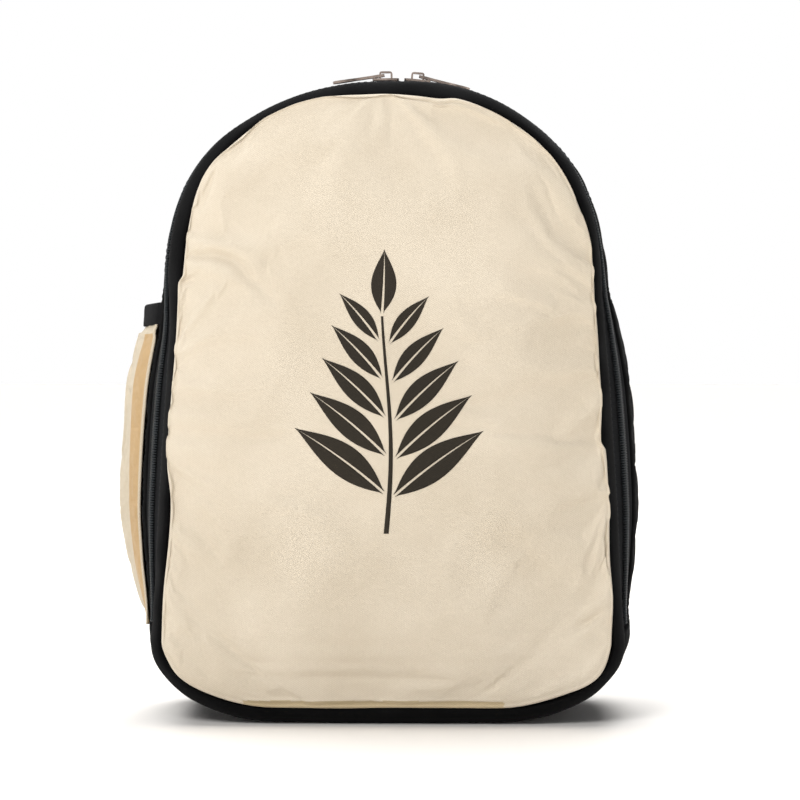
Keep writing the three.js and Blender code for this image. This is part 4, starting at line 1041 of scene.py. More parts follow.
# Where the pocket's cloth is sewn and can't settle, as shares up and across it
SEWN_FOOT, SEWN_RIM, SEWN_FRONT, SEWN_REAR, SEWN_FLANK = 0.02, 0.96, 0.03, 0.97, 0.012
# The pocket's relief: heights in mm, then places and half widths as shares of it
FOLD_RISE, FOLD_AT, FOLD_SWAY, FOLD_HALF = 0.9, 0.34, 0.05, 0.05
HOLLOW_DEPTH, HOLLOW_AT, HOLLOW_SWAY, HOLLOW_HALF = 0.7, 0.62, 0.06, 0.07
GATHER_RISE, GATHER_REACH = 0.8, 0.09
RIM_GATHER, RIM_GATHER_AT, RIM_GATHER_HALF = 0.8, 0.9, 0.06
FLANK_RISE, FLANK_HALF, FLANK_GROOVE_OFF, FLANK_GROOVE_HALF = 0.5, 0.02, 0.035, 0.018
FRONT_WELT, FRONT_WELT_AT, RIM_WELT, RIM_WELT_AT, POCKET_WELT_HALF = 0.9, 0.012, 0.7, 0.962, 0.012


def left_way_at(height):
    """The way round at which the left side reaches a height."""
    ways = np.linspace(1, 2, 4001)
    z = seam_at(ways)[1]
    return np.interp(-np.asarray(height), -z, ways)


def pocket_points(across, height, out, lean, table=POCKET_OUT):
    """Points of the pocket at shares across it from front to back. lean drops its middle."""
    depth = POCKET_FRONT + (POCKET_REAR - POCKET_FRONT) * across
    way = left_way_at(height)
    rise = (height - POCKET_FOOT) / (POCKET_RIM - POCKET_FOOT)
    arch = np.sin(math.pi * np.clip(across, 0, 1)) ** POCKET_ARCH
    bulge = POCKET_BULGE * along(table, rise) * arch
    base = out_at(depth, seam_at(way)[4]) + POCKET_STANDOFF
    points = side_points(way, base + out + bulge, depth)
    points[..., 2] = height - POCKET_DIP * arch * lean
    return points


def pocket_relief(up, wide):
    """Folds, gathers, the flank's seam and the welts of the pocket, in metres."""
    arch = np.sin(math.pi * wide) ** 0.6
    fold = FOLD_RISE * bump(wide, FOLD_AT + FOLD_SWAY * np.sin(5 * up), FOLD_HALF)
    hollow = HOLLOW_DEPTH * bump(wide, HOLLOW_AT - HOLLOW_SWAY * up, HOLLOW_HALF)
    folds = fold * np.sin(math.pi * up) ** 0.7 - hollow * np.sin(math.pi * up)
    foot_gather = ripple(wide, 41, 3, 9) * np.exp(-up / GATHER_REACH)
    gather = foot_gather + RIM_GATHER * ripple(wide, 42, 3, 8) * bump(up, RIM_GATHER_AT, RIM_GATHER_HALF)
    ridge = bump(wide, FLANK_SHARE, FLANK_HALF)
    seam = FLANK_RISE * ridge - FLANK_RISE * bump(wide, FLANK_SHARE + FLANK_GROOVE_OFF, FLANK_GROOVE_HALF)
    welt = (FRONT_WELT * bump(wide, FRONT_WELT_AT, POCKET_WELT_HALF)
            + RIM_WELT * bump(up, RIM_WELT_AT, POCKET_WELT_HALF))
    return (POCKET_THICKNESS + (folds + gather * GATHER_RISE) * arch + seam + welt) * MM


def side_pocket():
    """A gathered pocket of one cloth, its front flank painted golden tan as shade and warm bounce light."""
    up = np.linspace(0, 1, POCKET_ROWS)[:, None]
    across = np.linspace(0, 1, POCKET_COLUMNS)[None, :] ** FRONT_CROWDING
    height = POCKET_FOOT + (POCKET_RIM + POCKET_TUCK - POCKET_FOOT) * up + 0 * across
    wide = across + 0 * up
    grid = pocket_points(wide, height, pocket_relief(up, wide), up ** 3)
    held = (up < SEWN_FOOT) | (up > SEWN_RIM) | (wide < SEWN_FRONT) | (wide > SEWN_REAR)
    held = held | (np.abs(wide - FLANK_SHARE) < SEWN_FLANK)
    moves = settled_grid(grid[:, ::-1], np.flatnonzero(held[:, ::-1]), POCKET_PRESSURE, POCKET_SLACK,
                         POCKET_SMOOTHING, 1.0, POCKET_CAP)
    grid = grid + moves[:, ::-1]
    down = up[:, 0] * (POCKET_RIM - POCKET_FOOT)
    over = across[0] * (POCKET_REAR - POCKET_FRONT) * POCKET_EASE
    piece = grid_object("side_pocket_cloth", grid, CANVAS, uv_steps=(down, over))
    piece.data.materials.append(CANVAS_FLANK_PAINTED_SHADE)
    edge = round(FLANK_SHARE ** (1 / FRONT_CROWDING) * (POCKET_COLUMNS - 1))
    row, column = np.divmod(np.arange((POCKET_ROWS - 1) * (POCKET_COLUMNS - 1)), POCKET_COLUMNS - 1)
    # The flank's faces take the painted shade, a darker golden tan
    painted_shade_on_flank = (column >= WELT_COLUMNS) & (column < edge) & (row < POCKET_ROWS * FLANK_TOP)
    piece.data.polygons.foreach_set("material_index", painted_shade_on_flank.astype(np.int32))
    tidy_normals(piece)
    thicken(piece, POCKET_WALL)
    return dress(piece, "canvas", "side_pocket")


def thicken(piece, wall):
    """Gives a sheet a wall on its inner side."""
    shell = piece.modifiers.new("cloth thickness", "SOLIDIFY")
    shell.thickness = wall
    shell.offset = -1


# The binding's section: mm outwards as shares of its half thickness, up as a share of its height
BINDING_LINE = [(0.6, 0), (1.0, 0.03), (1.08, 0.2), (1.02, 0.5), (1.0, 0.8), (0.85, 0.96), (0.4, 1.03),
                (-0.2, 1.03), (-0.7, 0.96), (-0.85, 0.8), (-0.85, 0.4), (-0.8, 0.04), (-0.4, 0)]
BINDING_HALF = 1.5 * MM
BINDING_LAP = 0.2 * MM
BINDING_STANDOFF = 1.0 * MM
BINDING_WAVER = 0.15 * MM


def pocket_binding():
    """Grosgrain folded over the pocket's rim."""
    across = np.linspace(0, 1, 81)
    rings = []
    for side, up in BINDING_LINE:
        height = POCKET_RIM - BINDING_LAP + BINDING_HEIGHT * up + 0 * across
        out = BINDING_STANDOFF + BINDING_HALF * side + BINDING_WAVER * ripple(across, 51, 3, 8)
        rings.append(pocket_points(across, height, out, np.ones(len(across)), BINDING_OUT))
    grid = np.stack(rings, 1)
    over = np.linspace(0, 2 * BINDING_HEIGHT, len(BINDING_LINE) + 1)
    down = np.append(across, 1) * (POCKET_REAR - POCKET_FRONT) * POCKET_EASE
    piece = grid_object("pocket_binding_tape", grid, GROSGRAIN, False, True, (down, over))
    cap_ends(piece, len(BINDING_LINE))
    return dress(piece, "webbing", "pocket_binding")


# Straps and webbing

STRAP_WIDTH = 46 * MM
STRAP_THICKNESS = 7 * MM
STRAP_TOP_HEIGHT = 298 * MM
STRAP_END_HEIGHT = 124 * MM
STRAP_TOP_SPREAD = 34 * MM
STRAP_LOW_INSET = 41.5 * MM
STRAP_BOW = 48 * MM
STRAP_LINE = [(0, 0, 0), (0.13, 0, 0.03), (0.26, 0.42, 0.16), (0.45, 0.88, 0.5), (0.63, 1, 0.8),
              (0.82, 0.9, 0.98), (1, 0.6, 1)]
STRAP_TAPER = [(0, 0.9), (0.12, 1), (0.88, 1), (1, 0.62)]
WEBBING_WIDTH = 20 * MM
WEBBING_THICKNESS = 1.4 * MM
WEBBING_FOOT = 34 * MM
WEBBING_SEWN = 20 * MM
WEBBING_TAIL = 62 * MM
LOCK_BAR = 3 * MM
LOCK_SLOT = 7 * MM
LOCK_THICKNESS = 3 * MM
LOOP_HEIGHT = 317 * MM
LOOP_HALF_LENGTH = 40 * MM
LOOP_BOW = 24 * MM
LOOP_WIDTH = 22 * MM
LOOP_THICKNESS = 2.4 * MM
GAP = 0.3 * MM


def rear_rim():
    """Distance of the rear seam from the panels' middle at each turn about it."""
    x, z, nx, nz, _ = seam_at(np.linspace(0, 2, 1441)[:-1])
    x, z = x + nx * REAR_FLARE, z + nz * REAR_FLARE - MIDDLE_Z
    turn = np.arctan2(z, x)
    order = np.argsort(turn)
    return turn[order], np.hypot(x, z)[order]


RIM_TURN, RIM_REACH = rear_rim()


def on_back(x, z):
    """Y of the back panel's surface, with the clearance of a sewn piece."""
    dz = z - MIDDLE_Z
    reach = np.interp(np.arctan2(dz, x), RIM_TURN, RIM_REACH, period=2 * math.pi)
    share = np.minimum(np.hypot(x, dz) / reach, 1)
    puff = EDGE_PUFF * (1 - np.exp(-(1 - share) * reach / EDGE_REACH))
    rise = BACK_CROWN * (1 - share ** CROWN_POWER) + puff
    return REAR_Y + 2 * GAP + rise


def seat_on_back(x, z, half):
    """Y at which a flat piece of this half size clears the back panel."""
    spots = [(-half, 0), (0, 0), (half, 0), (-half, -half), (-half, half), (0, -half), (0, half)]
    return max(float(on_back(x + dx, z + dz)) for dx, dz in spots) + GAP


CURVE_STEPS = 24
CORNER_STEPS = 9
LONGEST_CUT = 0.45
SECTION_STEP = 2 * MM


def smooth_line(points, steps):
    """Points at even steps on a smooth curve through the given ones."""
    p = np.asarray(points, float)
    p = np.concatenate([2 * p[:1] - p[1:2], p, 2 * p[-1:] - p[-2:-1]])
    fine = []
    for a, b, c, d in zip(p[:-3], p[1:-2], p[2:-1], p[3:]):
        t = np.linspace(0, 1, CURVE_STEPS, endpoint=False)[:, None]
        fine.append(0.5 * (2 * b + (c - a) * t + (2 * a - 5 * b + 4 * c - d) * t ** 2
                           + (3 * b - a - 3 * c + d) * t ** 3))
    fine = np.concatenate(fine + [p[-2:-1]])
    return even_line(fine, steps)


def even_line(points, steps):
    """The same line at even steps of length."""
    points = np.asarray(points, float)
    length = lengths_along(points)
    even = np.linspace(0, length[-1], steps + 1)
    return np.stack([np.interp(even, length, points[:, k]) for k in range(3)], 1)


def rounded_line(points, radius, steps):
    """A broken line with its corners rounded, at even steps."""
    points = np.asarray(points, float)
    path = [points[0]]
    for a, b, c in zip(points[:-2], points[1:-1], points[2:]):
        cut = min(radius, np.linalg.norm(b - a) * LONGEST_CUT, np.linalg.norm(c - b) * LONGEST_CUT)
        start = b + (a - b) / np.linalg.norm(a - b) * cut
        end = b + (c - b) / np.linalg.norm(c - b) * cut
        for t in np.linspace(0, 1, CORNER_STEPS):
            path.append(start * (1 - t) ** 2 + 2 * b * t * (1 - t) + end * t ** 2)
    path.append(points[-1])
    return even_line(path, steps)


def line_frames(line):
    """Tangent, across and outward directions along a line whose width runs along X."""
    tangent = np.gradient(line, axis=0)
    tangent /= np.linalg.norm(tangent, axis=1)[:, None]
    across = np.array([1.0, 0, 0]) - tangent * tangent[:, :1]
    across /= np.linalg.norm(across, axis=1)[:, None]
    return tangent, across, np.cross(tangent, across)


def rounded_section(width, thickness, corner, steps=4, crown=0.0):
    """Closed section of a strip: a rectangle with round corners, its faces crowned by an amount."""
    turns = np.linspace(0, math.pi / 2, steps + 1)
    w, t = width / 2 - corner, thickness / 2 - corner
    ring = []
    for k, (sx, sy) in enumerate([(1, 1), (-1, 1), (-1, -1), (1, -1)]):
        for a in turns + k * math.pi / 2:
            ring.append((sx * w + corner * math.cos(a), sy * t + corner * math.sin(a)))
    dense = []
    for (x0, y0), (x1, y1) in zip(ring, ring[1:] + ring[:1]):
        parts = max(int(math.hypot(x1 - x0, y1 - y0) / SECTION_STEP), 1)
        dense.extend((x0 + (x1 - x0) * i / parts, y0 + (y1 - y0) * i / parts) for i in range(parts))
    section = np.array(dense)
    section[:, 1] += np.sign(section[:, 1]) * crown * (1 - (2 * section[:, 0] / width) ** 2)
    return section


def swept_strip(name, line, section, material, widths=None, shape=None):
    """A closed strip along a line, from one section whose first number may be scaled by widths."""
    _, across, out = line_frames(line)
    rows = []
    for i, middle in enumerate(line):
        wide = 1.0 if widths is None else widths[i]
        s = section if shape is None else shape(i / (len(line) - 1), section)
        rows.append(middle + across[i] * (s[:, :1] * wide) + out[i] * s[:, 1:])
    grid = np.array(rows)
    steps = (lengths_along(line), lengths_along(np.concatenate([section, section[:1]])))
    piece = grid_object(name, grid, material, False, True, steps)
    cap_ends(piece, len(section))
    return piece


def strap_line(side):
    """Middle of a shoulder strap from its top to its lower end. side is -1 for left."""
    drop = STRAP_TOP_HEIGHT - STRAP_END_HEIGHT
    low = BASE_HALF_WIDTH - STRAP_LOW_INSET
    points = []
    for share, bow, spread in STRAP_LINE:
        x = STRAP_TOP_SPREAD + (low - STRAP_TOP_SPREAD) * spread
        z = STRAP_TOP_HEIGHT - drop * share
        y = seat_on_back(x, z, STRAP_WIDTH / 2) + STRAP_THICKNESS / 2 + STRAP_BOW * bow
        points.append((side * x, y, z))
    return np.array(points)


PAD_WIDTH = STRAP_WIDTH - 2 * MM
PAD_CORNER = 2.4 * MM
PAD_CROWN = 1.0 * MM
PAD_THICKNESS = STRAP_THICKNESS - 1.6 * MM
STITCH_INSET = STRAP_WIDTH / 2 - 6 * MM
STITCH_SINK = 0.05 * MM
STITCH_HEIGHT = PAD_THICKNESS / 2 + PAD_CROWN * (1 - (2 * STITCH_INSET / STRAP_WIDTH) ** 2) - STITCH_SINK
STRAP_PRESSURE = 2.5
STRAP_SLACK = 0.012
STRAP_CAP = 1.1 * MM
SEWN_EDGE = 3 * MM
SEWN_HALF = 1.4 * MM
END_ROWS = 4
TOP_PRESS, LOW_PRESS, PRESS_REACH = 0.55, 0.2, 0.03
PAD_WAVES, PAD_WAVE_SHARE = 34, 0.03
BOX_FOOT, BOX_HIGH, BOX_INSET = 17 * MM, 13 * MM, 18 * MM
BIND_INSET, BIND_HALF_WIDTH, BIND_HALF_HEIGHT = 1.2 * MM, 1.5 * MM, 2.6 * MM
BIND_STEP = 1.3 * MM


def move_points(piece, moves):
    """Moves each point of a piece."""
    now = np.empty(moves.size)
    piece.data.vertices.foreach_get("co", now)
    piece.data.vertices.foreach_set("co", now + moves.ravel())
    piece.data.update()


def strap_pad(name, line, taper, seed):
    """The padded body of a strap, pressed flatter at its sewn ends and settled between its seams."""
    rng = np.random.default_rng(seed)
    section = rounded_section(PAD_WIDTH, PAD_THICKNESS, PAD_CORNER, crown=PAD_CROWN)

    def shape(at, base):
        made = base.copy()
        press = 1 - TOP_PRESS * math.exp(-at / PRESS_REACH) - LOW_PRESS * math.exp(-(1 - at) / PRESS_REACH)
        made[:, 1] *= press * (1 + PAD_WAVE_SHARE * math.sin(PAD_WAVES * at + rng.random() * 0.2))
        return made

    body = swept_strip(f"strap_{name}_pad", line, section, BLACK_CLOTH, taper, shape)
    from_middle = np.abs(section[:, 0])
    sewn = (from_middle > STRAP_WIDTH / 2 - SEWN_EDGE) | (np.abs(from_middle - STITCH_INSET) < SEWN_HALF)
    held = np.tile(sewn, (len(line), 1))
    held[:END_ROWS] = True
    held[-END_ROWS:] = True
    move_points(body, capped(settled(body, np.flatnonzero(held), STRAP_PRESSURE, STRAP_SLACK), STRAP_CAP))
    return body


def padded_strap(name, side):
    """A padded shoulder strap with quilted faces and a tape bound round its edge."""
    line = smooth_line(strap_line(side), 150)
    taper = along(STRAP_TAPER, np.linspace(0, 1, len(line)))
    body = strap_pad(name, line, taper, 61 + side)
    box_stitch(f"strap_{name}_top_stitch", side * STRAP_TOP_SPREAD, STRAP_TOP_HEIGHT - BOX_FOOT, BOX_HIGH,
               STRAP_WIDTH - BOX_INSET, face_finder(body, 1))
    dress(body, "black_cloth", f"strap_{name}")
    _, across, out = line_frames(line)
    half = (STRAP_WIDTH / 2 - BIND_INSET) * taper[:, None]
    turns = np.linspace(0, math.pi, 9)[1:-1]
    end_cap = [line[-1] + across[-1] * half[-1] * math.cos(a) for a in turns]
    top_cap = [line[0] - across[0] * half[0] * math.cos(a) for a in turns]
    edge = np.concatenate([line + across * half, end_cap, (line - across * half)[::-1], top_cap])
    bind_edge(f"strap_{name}_binding", edge, np.tile(out[len(out) // 2], (len(edge), 1)))
    for letter, sign in (("a", 1), ("b", -1)):
        inset = line + across * (STITCH_INSET * taper[:, None]) * sign + out * STITCH_HEIGHT
        stitch_row(f"strap_{name}_stitch_{letter}", inset[3:-3], out[3:-3])


def bind_edge(name, path, up):
    """A tape bound over an edge: an oval tube on a closed path."""
    tangent = np.roll(path, -1, 0) - np.roll(path, 1, 0)
    tangent /= np.linalg.norm(tangent, axis=1)[:, None]
    up = up - tangent * np.sum(up * tangent, 1)[:, None]
    up /= np.linalg.norm(up, axis=1)[:, None]
    across = np.cross(tangent, up)
    turns = np.linspace(0, 2 * math.pi, 13)[:-1]
    grid = path[:, None] + across[:, None] * (BIND_HALF_WIDTH * np.cos(turns))[None, :, None]
    grid = grid + up[:, None] * (BIND_HALF_HEIGHT * np.sin(turns))[None, :, None]
    down = np.arange(len(path) + 1) * BIND_STEP
    around = np.linspace(0, math.pi * (BIND_HALF_WIDTH + BIND_HALF_HEIGHT), 13)
    piece = grid_object(name, grid, GROSGRAIN, True, True, (down, around))
    tidy_normals(piece)
    return dress(piece, "webbing")


STITCH_LENGTH = 2.6 * MM
STITCH_GAP = 0.9 * MM
STITCH_RADIUS = 0.28 * MM
# A stitch from end to end: share of its length, of its radius, and how far it dips into the cloth
STITCH_SHAPE = [(-0.5, 0.25, -0.9), (-0.42, 0.8, -0.2), (-0.2, 1, 0.35), (0.2, 1, 0.35), (0.42, 0.8, -0.2),
                (0.5, 0.25, -0.9)]


def stitch_row(name, line, normals):
    """A row of separate stitches lying along a line on a surface."""
    length = lengths_along(line)
    count = int(length[-1] / (STITCH_LENGTH + STITCH_GAP))
    centres = (np.arange(count) + 0.5) * length[-1] / count
    shape = np.array(STITCH_SHAPE)
    turns = np.linspace(0, 2 * math.pi, 6)[:-1]
    at = centres[:, None] + shape[None, :, 0] * STITCH_LENGTH

    def pick(values):
        return np.stack([np.interp(at, length, values[:, k]) for k in range(3)], -1)

    middle, up = pick(line), pick(normals)
    up /= np.linalg.norm(up, axis=-1)[..., None]
    run = np.gradient(middle, axis=1)
    run /= np.linalg.norm(run, axis=-1)[..., None]
    across = np.cross(run, up)
    radius = STITCH_RADIUS * shape[:, 1]
    middle = middle + up * (shape[:, 2] * STITCH_RADIUS)[None, :, None]
    ring = middle[:, :, None] + across[:, :, None] * (np.cos(turns) * radius[:, None])[None, :, :, None]
    ring = ring + up[:, :, None] * (np.sin(turns) * radius[:, None])[None, :, :, None]
    base = tube_faces(len(shape), len(turns))
    size = len(shape) * len(turns)
    faces = [[i + k * size for i in face] for k in range(count) for face in base]
    piece = new_object(name, ring.reshape(-1, 3), faces, THREAD)
    tidy_normals(piece)
    return dress(piece, "black_cloth")


WEBBING_CORNER = 0.55 * MM
KEEPER_BEND = 1.2 * MM
WEBBING_BEND = 5 * MM
FOOT_BOX_INSET = 3 * MM
FOOT_BOX_SLIM = 5 * MM


def strap_ends(name, side):
    """The webbing that holds the ladder lock, and the webbing that runs through it to the bag's foot."""
    points = strap_line(side)
    end = points[-1]
    down = end - points[-2]
    down[0] = 0
    down /= np.linalg.norm(down)
    up = -down
    out = np.array([0, up[2], -up[1]])
    turn = WEBBING_THICKNESS / 2 + GAP
    room = STRAP_THICKNESS / 2 + GAP
    top_bar = LOCK_SLOT + LOCK_BAR
    middle = end + down * (room + LOCK_BAR * 1.5 + top_bar)
    face = LOCK_THICKNESS / 2 + turn

    def at(rise, outwards):
        return middle + up * rise + out * outwards

    def wrap(centre, way):
        half, corner = LOCK_BAR / 2, turn * math.sqrt(0.5)
        surface = LOCK_THICKNESS / 2
        behind = [(half, -face), (half + corner, -surface - corner), (half + turn, -surface)]
        before = [(far, -side_out) for far, side_out in reversed(behind)]
        return [at(centre + way * far, side_out) for far, side_out in behind + before]

    section = rounded_section(WEBBING_WIDTH, WEBBING_THICKNESS, WEBBING_CORNER, 3)
    keeper_top = top_bar + LOCK_BAR * 1.5 + room - GAP
    keeper = [at(keeper_top, -face), *wrap(top_bar, -1), at(keeper_top, face)]
    piece = swept_strip(f"strap_keeper_{name}_band", rounded_line(keeper, KEEPER_BEND, 60), section, WEBBING)
    dress(piece, "webbing", f"strap_keeper_{name}")

    x = abs(end[0])
    sewn_top = WEBBING_FOOT + WEBBING_SEWN
    low_end = -top_bar - LOCK_BAR

    def seat(z):
        return seat_on_back(x, z, WEBBING_WIDTH / 2) + WEBBING_THICKNESS / 2

    def tail(share):
        return at(low_end, face + GAP) - np.array([0, 0, WEBBING_TAIL * share])

    sewn = [np.array([end[0], seat(z), z]) for z in (WEBBING_FOOT, sewn_top)]
    route = [*sewn, at(low_end, -face - GAP), *wrap(0, 1), tail(0), tail(0.5), tail(1)]
    piece = swept_strip(f"webbing_{name}_band", rounded_line(route, WEBBING_BEND, 220), section, WEBBING)
    dress(piece, "webbing", f"webbing_{name}")
    box_stitch(f"webbing_{name}_stitch", end[0], WEBBING_FOOT + FOOT_BOX_INSET,
               WEBBING_SEWN - 2 * FOOT_BOX_INSET, WEBBING_WIDTH - FOOT_BOX_SLIM, face_finder(piece, 1))


# Stitches round the seams: sunk into the cloth, looked for from outside, and ended above the floor
SEAM_SUNK = 0.12 * MM
SEAM_REACH = 3 * MM
STITCH_FLOOR = 1.5 * MM
SEAM_STEPS = 700
BAND_STITCH_DEPTH = BAND_DEPTH - 3.2 * MM
GUSSET_STITCH_DEPTH = BAND_DEPTH + ZIP_OPENING + 3.6 * MM
REAR_STITCH_DEPTH = TOTAL_DEPTH - 5 * MM
AXIS_POINT = (0, 0, 0.15)


def seam_stitches(name, piece, start, end, depth):
    """A row of stitches round the side of the bag at a depth, half sunk into the piece that they hold."""
    ways = np.linspace(start, end, SEAM_STEPS)
    rough = side_points(ways, out_at(depth, seam_at(ways)[4]) + SEAM_REACH, np.full(len(ways), depth))
    tree = BVHTree.FromObject(piece, bpy.context.evaluated_depsgraph_get())
    found = [tree.find_nearest(Vector(spot)) for spot in rough]
    line, normals = (np.array([tuple(hit[k]) for hit in found]) for k in (0, 1))
    above = line[:, 2] > STITCH_FLOOR
    outward = (line - AXIS_POINT) * (1, 0, 1)
    normals *= np.where((normals * outward).sum(1) < 0, -1, 1)[:, None]
    stitch_row(name, (line - normals * SEAM_SUNK)[above], normals[above])


def box_stitch(name, x, low, high, width, height_at):
    """A stitched box with a cross in it, on a face towards +Y whose Y height_at gives."""
    w = width / 2
    corners = [(x - w, low), (x + w, low), (x + w, low + high), (x - w, low + high), (x - w, low),
               (x + w, low + high)]
    line = even_line([(a, 0, b) for a, b in corners], 90)
    line[:, 1] = [height_at(a, b) for a, _, b in line]
    stitch_row(name, line, np.tile((0.0, 1.0, 0.0), (len(line), 1)))


LOOK_FROM = 0.5


def face_finder(piece, side):
    """A function that gives Y of a piece's face at x and z, seen from in front (-1) or behind (1)."""
    tree = BVHTree.FromObject(piece, bpy.context.evaluated_depsgraph_get())

    def face_at(x, z):
        hit, _, _, _ = tree.ray_cast(Vector((x, side * LOOK_FROM, z)), Vector((0, -side, 0)))
        return hit.y
    return face_at


LOOP_FREE = 0.69
LOOP_RISE_POWER = 1.3
LOOP_CORNER = 1.0 * MM
LOOP_ROLL = 0.25
LOOP_PINCH = 0.12
LOOP_CUP = 4 * MM
LOOP_EASE = 1.3
LOOP_BOX_IN, LOOP_BOX_INSET, LOOP_BOX_WIDTH = 6 * MM, 3 * MM, 8 * MM


def haul_loop():
    """A loop of webbing sewn down at both ends, that stands out and cups in between."""
    low = LOOP_HEIGHT - LOOP_WIDTH / 2
    share = np.linspace(-1, 1, 121)
    free = np.minimum(np.abs(share) / LOOP_FREE, 1)
    lift = np.cos(free * math.pi / 2) ** LOOP_RISE_POWER
    seat = np.array([seat_on_back(s * LOOP_HALF_LENGTH, low, 0) for s in share])
    section = rounded_section(LOOP_WIDTH, LOOP_THICKNESS, LOOP_CORNER)
    rows = []
    for s, y, up in zip(share, seat + LOOP_BOW * lift, lift):
        ring = np.zeros((len(section), 3))
        ring[:, 2] = section[:, 0] * (1 - LOOP_PINCH * up)
        ring[:, 1] = section[:, 1] * (1 + LOOP_ROLL * up) - (section[:, 0] / LOOP_WIDTH) ** 2 * LOOP_CUP * up
        rows.append(ring + (s * LOOP_HALF_LENGTH, y + LOOP_THICKNESS / 2, LOOP_HEIGHT))
    grid = np.array(rows)
    down = (share + 1) * LOOP_HALF_LENGTH * LOOP_EASE
    around = lengths_along(np.concatenate([section, section[:1]]))
    piece = grid_object("haul_loop_band", grid, WEBBING, False, True, (down, around))
    cap_ends(piece, len(section))
    dress(piece, "webbing", "haul_loop")
    for letter, side in (("a", -1), ("b", 1)):
        x = side * (LOOP_HALF_LENGTH - LOOP_BOX_IN)
        box_stitch(f"haul_loop_stitch_{letter}", x, low + LOOP_BOX_INSET, LOOP_WIDTH - 2 * LOOP_BOX_INSET,
                   LOOP_BOX_WIDTH, face_finder(piece, 1))


# Print

PRINT_MIDDLE = (0, 176 * MM)
PRINT_SKIN = 0.14 * MM
INK_SHARE = 0.8
STEM_HEIGHT = 112 * MM
STEM_DROP = 74 * MM
STEM_HALF_WIDTH = 1.3 * MM
STEM_TAPER = 0.55
STEM_SWAY = 2.4 * MM
STEM_SWAY_TURN = 4.2
RIB_ROOT, RIB_TIP = 0.5 * MM, 0.2 * MM
# Leaf pairs from the foot up: where the first stands on the stem, the step to the next, and how the
# leaves lean and shrink with each pair
LEAF_PAIRS = 5
LEAF_FIRST, LEAF_STEP = 0.16, 0.175
LEAF_LENGTH, LEAF_SHRINK = 57 * MM, 0.11
LEAF_WIDTH_SHARE = 0.29
LEAF_LEAN, LEAF_LEAN_STEP = 36, 3.5
LEAF_BEND = 0.10
LEAF_OUT, LEAF_UP, LEAF_STAGGER = 2.6 * MM, 1.6 * MM, 1.5 * MM
LEAF_FULLEST, LEAF_POINT, RIB_FADE = 0.86, 1.1, 6
TIP_LENGTH, TIP_WIDTH, TIP_TURN, TIP_BEND, TIP_UP = 33 * MM, 13 * MM, 88, -0.04, 1.5 * MM


def leaf(base, turn, length, width, bend):
    """Two halves of a leaf with a bare midrib: grids of flat points from its base to its tip."""
    t = np.linspace(0, 1, 25)
    half = width / 2 * np.sin(math.pi * t ** LEAF_FULLEST) ** LEAF_POINT
    rib = RIB_ROOT * (1 - t) + RIB_TIP
    halves = []
    for side in (1, -1):
        rows = []
        for k in np.linspace(0, 1, 7):
            reach = rib * (1 - t ** RIB_FADE) + np.maximum(half - rib, 0) * k
            u = t * length
            v = side * reach + bend * length * (t - t ** 2)
            c, s = math.cos(turn), math.sin(turn)
            rows.append(np.stack([base[0] + u * c - v * s, base[1] + u * s + v * c], -1))
        halves.append(np.array(rows))
    return halves


def sprig():
    """Grids of flat points of a sprig with paired leaves and a leaf at its tip."""
    cx, cz = PRINT_MIDDLE
    stem_t = np.linspace(0, 1, 70)
    stem_x = cx + STEM_SWAY * np.sin(stem_t * STEM_SWAY_TURN)
    stem_z = cz - STEM_DROP + STEM_HEIGHT * stem_t
    wide = STEM_HALF_WIDTH * (1 - STEM_TAPER * stem_t)
    grids = [np.stack([np.stack([stem_x + k * wide, stem_z], -1) for k in (-1, 0, 1)])]
    for k in range(LEAF_PAIRS):
        t = LEAF_FIRST + LEAF_STEP * k
        x, z = np.interp(t, stem_t, stem_x), np.interp(t, stem_t, stem_z)
        length = LEAF_LENGTH * (1 - LEAF_SHRINK * k)
        lean = math.radians(LEAF_LEAN + LEAF_LEAN_STEP * k)
        for side, turn, stagger in ((1, lean, 0), (-1, math.pi - lean, LEAF_STAGGER)):
            start = (x + side * LEAF_OUT, z + LEAF_UP + stagger)
            grids.extend(leaf(start, turn, length, length * LEAF_WIDTH_SHARE, LEAF_BEND * side))
    top = (stem_x[-1], stem_z[-1] + TIP_UP)
    grids.extend(leaf(top, math.radians(TIP_TURN), TIP_LENGTH, TIP_WIDTH, TIP_BEND))
    return grids


def printed(panel_piece):
    """The sprig laid on the front panel, a skin as thin as ink."""
    face_at = face_finder(panel_piece, -1)
    points, faces, start = [], [], 0
    for grid in sprig():
        rows, columns = grid.shape[:2]
        part, _ = grid_faces(rows, columns)
        faces.extend((part + start).tolist())
        points.extend((x, face_at(x, z) - PRINT_SKIN, z) for x, z in grid.reshape(-1, 2))
        start += rows * columns
    piece = new_object("leaf_print", points, faces, INK)
    tidy_normals(piece)
    shell = piece.modifiers.new("ink thickness", "SOLIDIFY")
    shell.thickness = PRINT_SKIN * INK_SHARE
    shell.offset = 0
    return dress(piece, "canvas")


def build_scene():
    """All the pieces of the bag."""
    front = front_panel()
    printed(front)
    band = front_band()
    zip_tapes()
    zip_coils()
    hard_parts()
    side = gusset()
    rear_piping()
    back_panel()
    side_pocket()
    pocket_binding()
    for name, hand in (("left", -1), ("right", 1)):
        padded_strap(name, hand)
        strap_ends(name, hand)
    haul_loop()
    seam_stitches("band_stitch", band, 0, 2, BAND_STITCH_DEPTH)
    seam_stitches("gusset_stitch", side, ZIP_START, 2 - ZIP_START, GUSSET_STITCH_DEPTH)
    seam_stitches("rear_stitch", side, 0, 2, REAR_STITCH_DEPTH)


def soft_light(name, location, target, size, power):
    """A square light that faces a target."""
    lamp = bpy.data.lights.new(name, "AREA")
    lamp.shape = "RECTANGLE"
    lamp.size = size
    lamp.size_y = size
    lamp.energy = power
    made = bpy.data.objects.new(name, lamp)
    made.location = location
    made.rotation_euler = (Vector(target) - Vector(location)).to_track_quat("-Z", "Y").to_euler()
    bpy.context.scene.collection.objects.link(made)


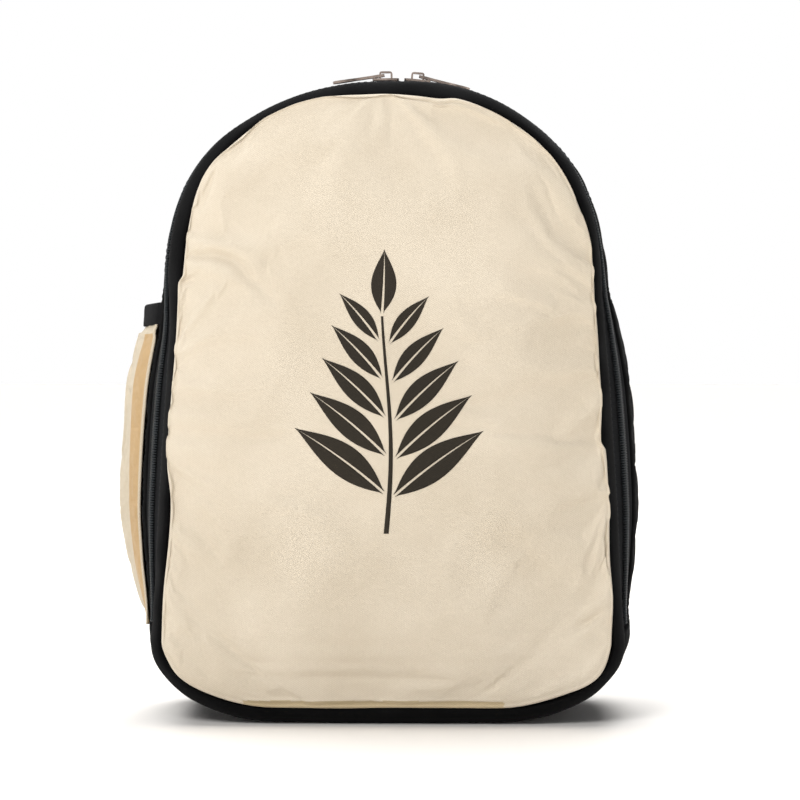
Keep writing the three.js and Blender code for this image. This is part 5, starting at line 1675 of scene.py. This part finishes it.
SENSOR = 36
CAMERA_DISTANCE = 1.5
CAMERA_TURN = math.radians(1.2)
CAMERA_RISE = math.radians(2.0)
FRAME_WIDTH = 416 * MM
AIM = Vector((6.8 * MM, FRONT_Y, LIFT + 161.7 * MM))


def camera():
    """The photograph's view."""
    lens = bpy.data.cameras.new("camera")
    lens.sensor_width = SENSOR
    lens.lens = SENSOR * CAMERA_DISTANCE / FRAME_WIDTH
    made = bpy.data.objects.new("camera", lens)
    level = math.cos(CAMERA_RISE)
    away = Vector((math.sin(CAMERA_TURN) * level, -math.cos(CAMERA_TURN) * level, math.sin(CAMERA_RISE)))
    made.location = AIM + away * CAMERA_DISTANCE
    made.rotation_euler = (AIM - made.location).to_track_quat("-Z", "Y").to_euler()
    bpy.context.scene.collection.objects.link(made)
    bpy.context.scene.camera = made


SKY = (0.16, 0.16, 0.165)
WHITE = (1, 1, 1)
SKY_LOW, SKY_HIGH = 0.13, 0.25
FLOOR_COLOUR = (0.85, 0.825, 0.79)
FLOOR_HALF = 6.0
SUN_STRENGTH = 3.5
SUN_SPREAD = math.radians(60)
SUN_TURN = (math.radians(-16), math.radians(-6), 0)
# Soft lights: name, place, what they face, side in metres and watts
LIGHTS = [("key", (-0.62, -1.3, 1.25), (0, 0, 0.22), 0.7, 19.5),
          ("rear", (0.2, 1.5, 1.3), (0, 0, 0.15), 0.8, 16)]


def overhead():
    """Wide soft light from above, which keeps the far floor as white as the near one."""
    lamp = bpy.data.lights.new("overhead", "SUN")
    lamp.energy = SUN_STRENGTH
    lamp.angle = SUN_SPREAD
    made = bpy.data.objects.new("overhead", lamp)
    made.rotation_euler = SUN_TURN
    bpy.context.scene.collection.objects.link(made)


def studio():
    """World, lights and floor."""
    scene = bpy.context.scene
    scene.view_settings.view_transform = "Standard"
    world = bpy.data.worlds.new("studio")
    world.use_nodes = True
    tree = world.node_tree
    split = node(tree, "ShaderNodeSeparateXYZ")
    tree.links.new(node(tree, "ShaderNodeTexCoord").outputs["Generated"], split.inputs[0])
    sky = ramp(tree, split.outputs[2], [(SKY_LOW, WHITE), (SKY_HIGH, SKY), (1, SKY)])
    tree.links.new(sky, tree.nodes["Background"].inputs[0])
    scene.world = world
    for light in LIGHTS:
        soft_light(*light)
    overhead()
    floor_material, _, surface = shader("floor", 0.9)
    surface.inputs["Base Color"].default_value = (*FLOOR_COLOUR, 1)
    corners = [(x * FLOOR_HALF, y * FLOOR_HALF, 0) for x, y in ((-1, -1), (1, -1), (1, 1), (-1, 1))]
    floor = new_object("floor", corners, [(0, 1, 2, 3)], floor_material)


build_scene()
camera()
studio()
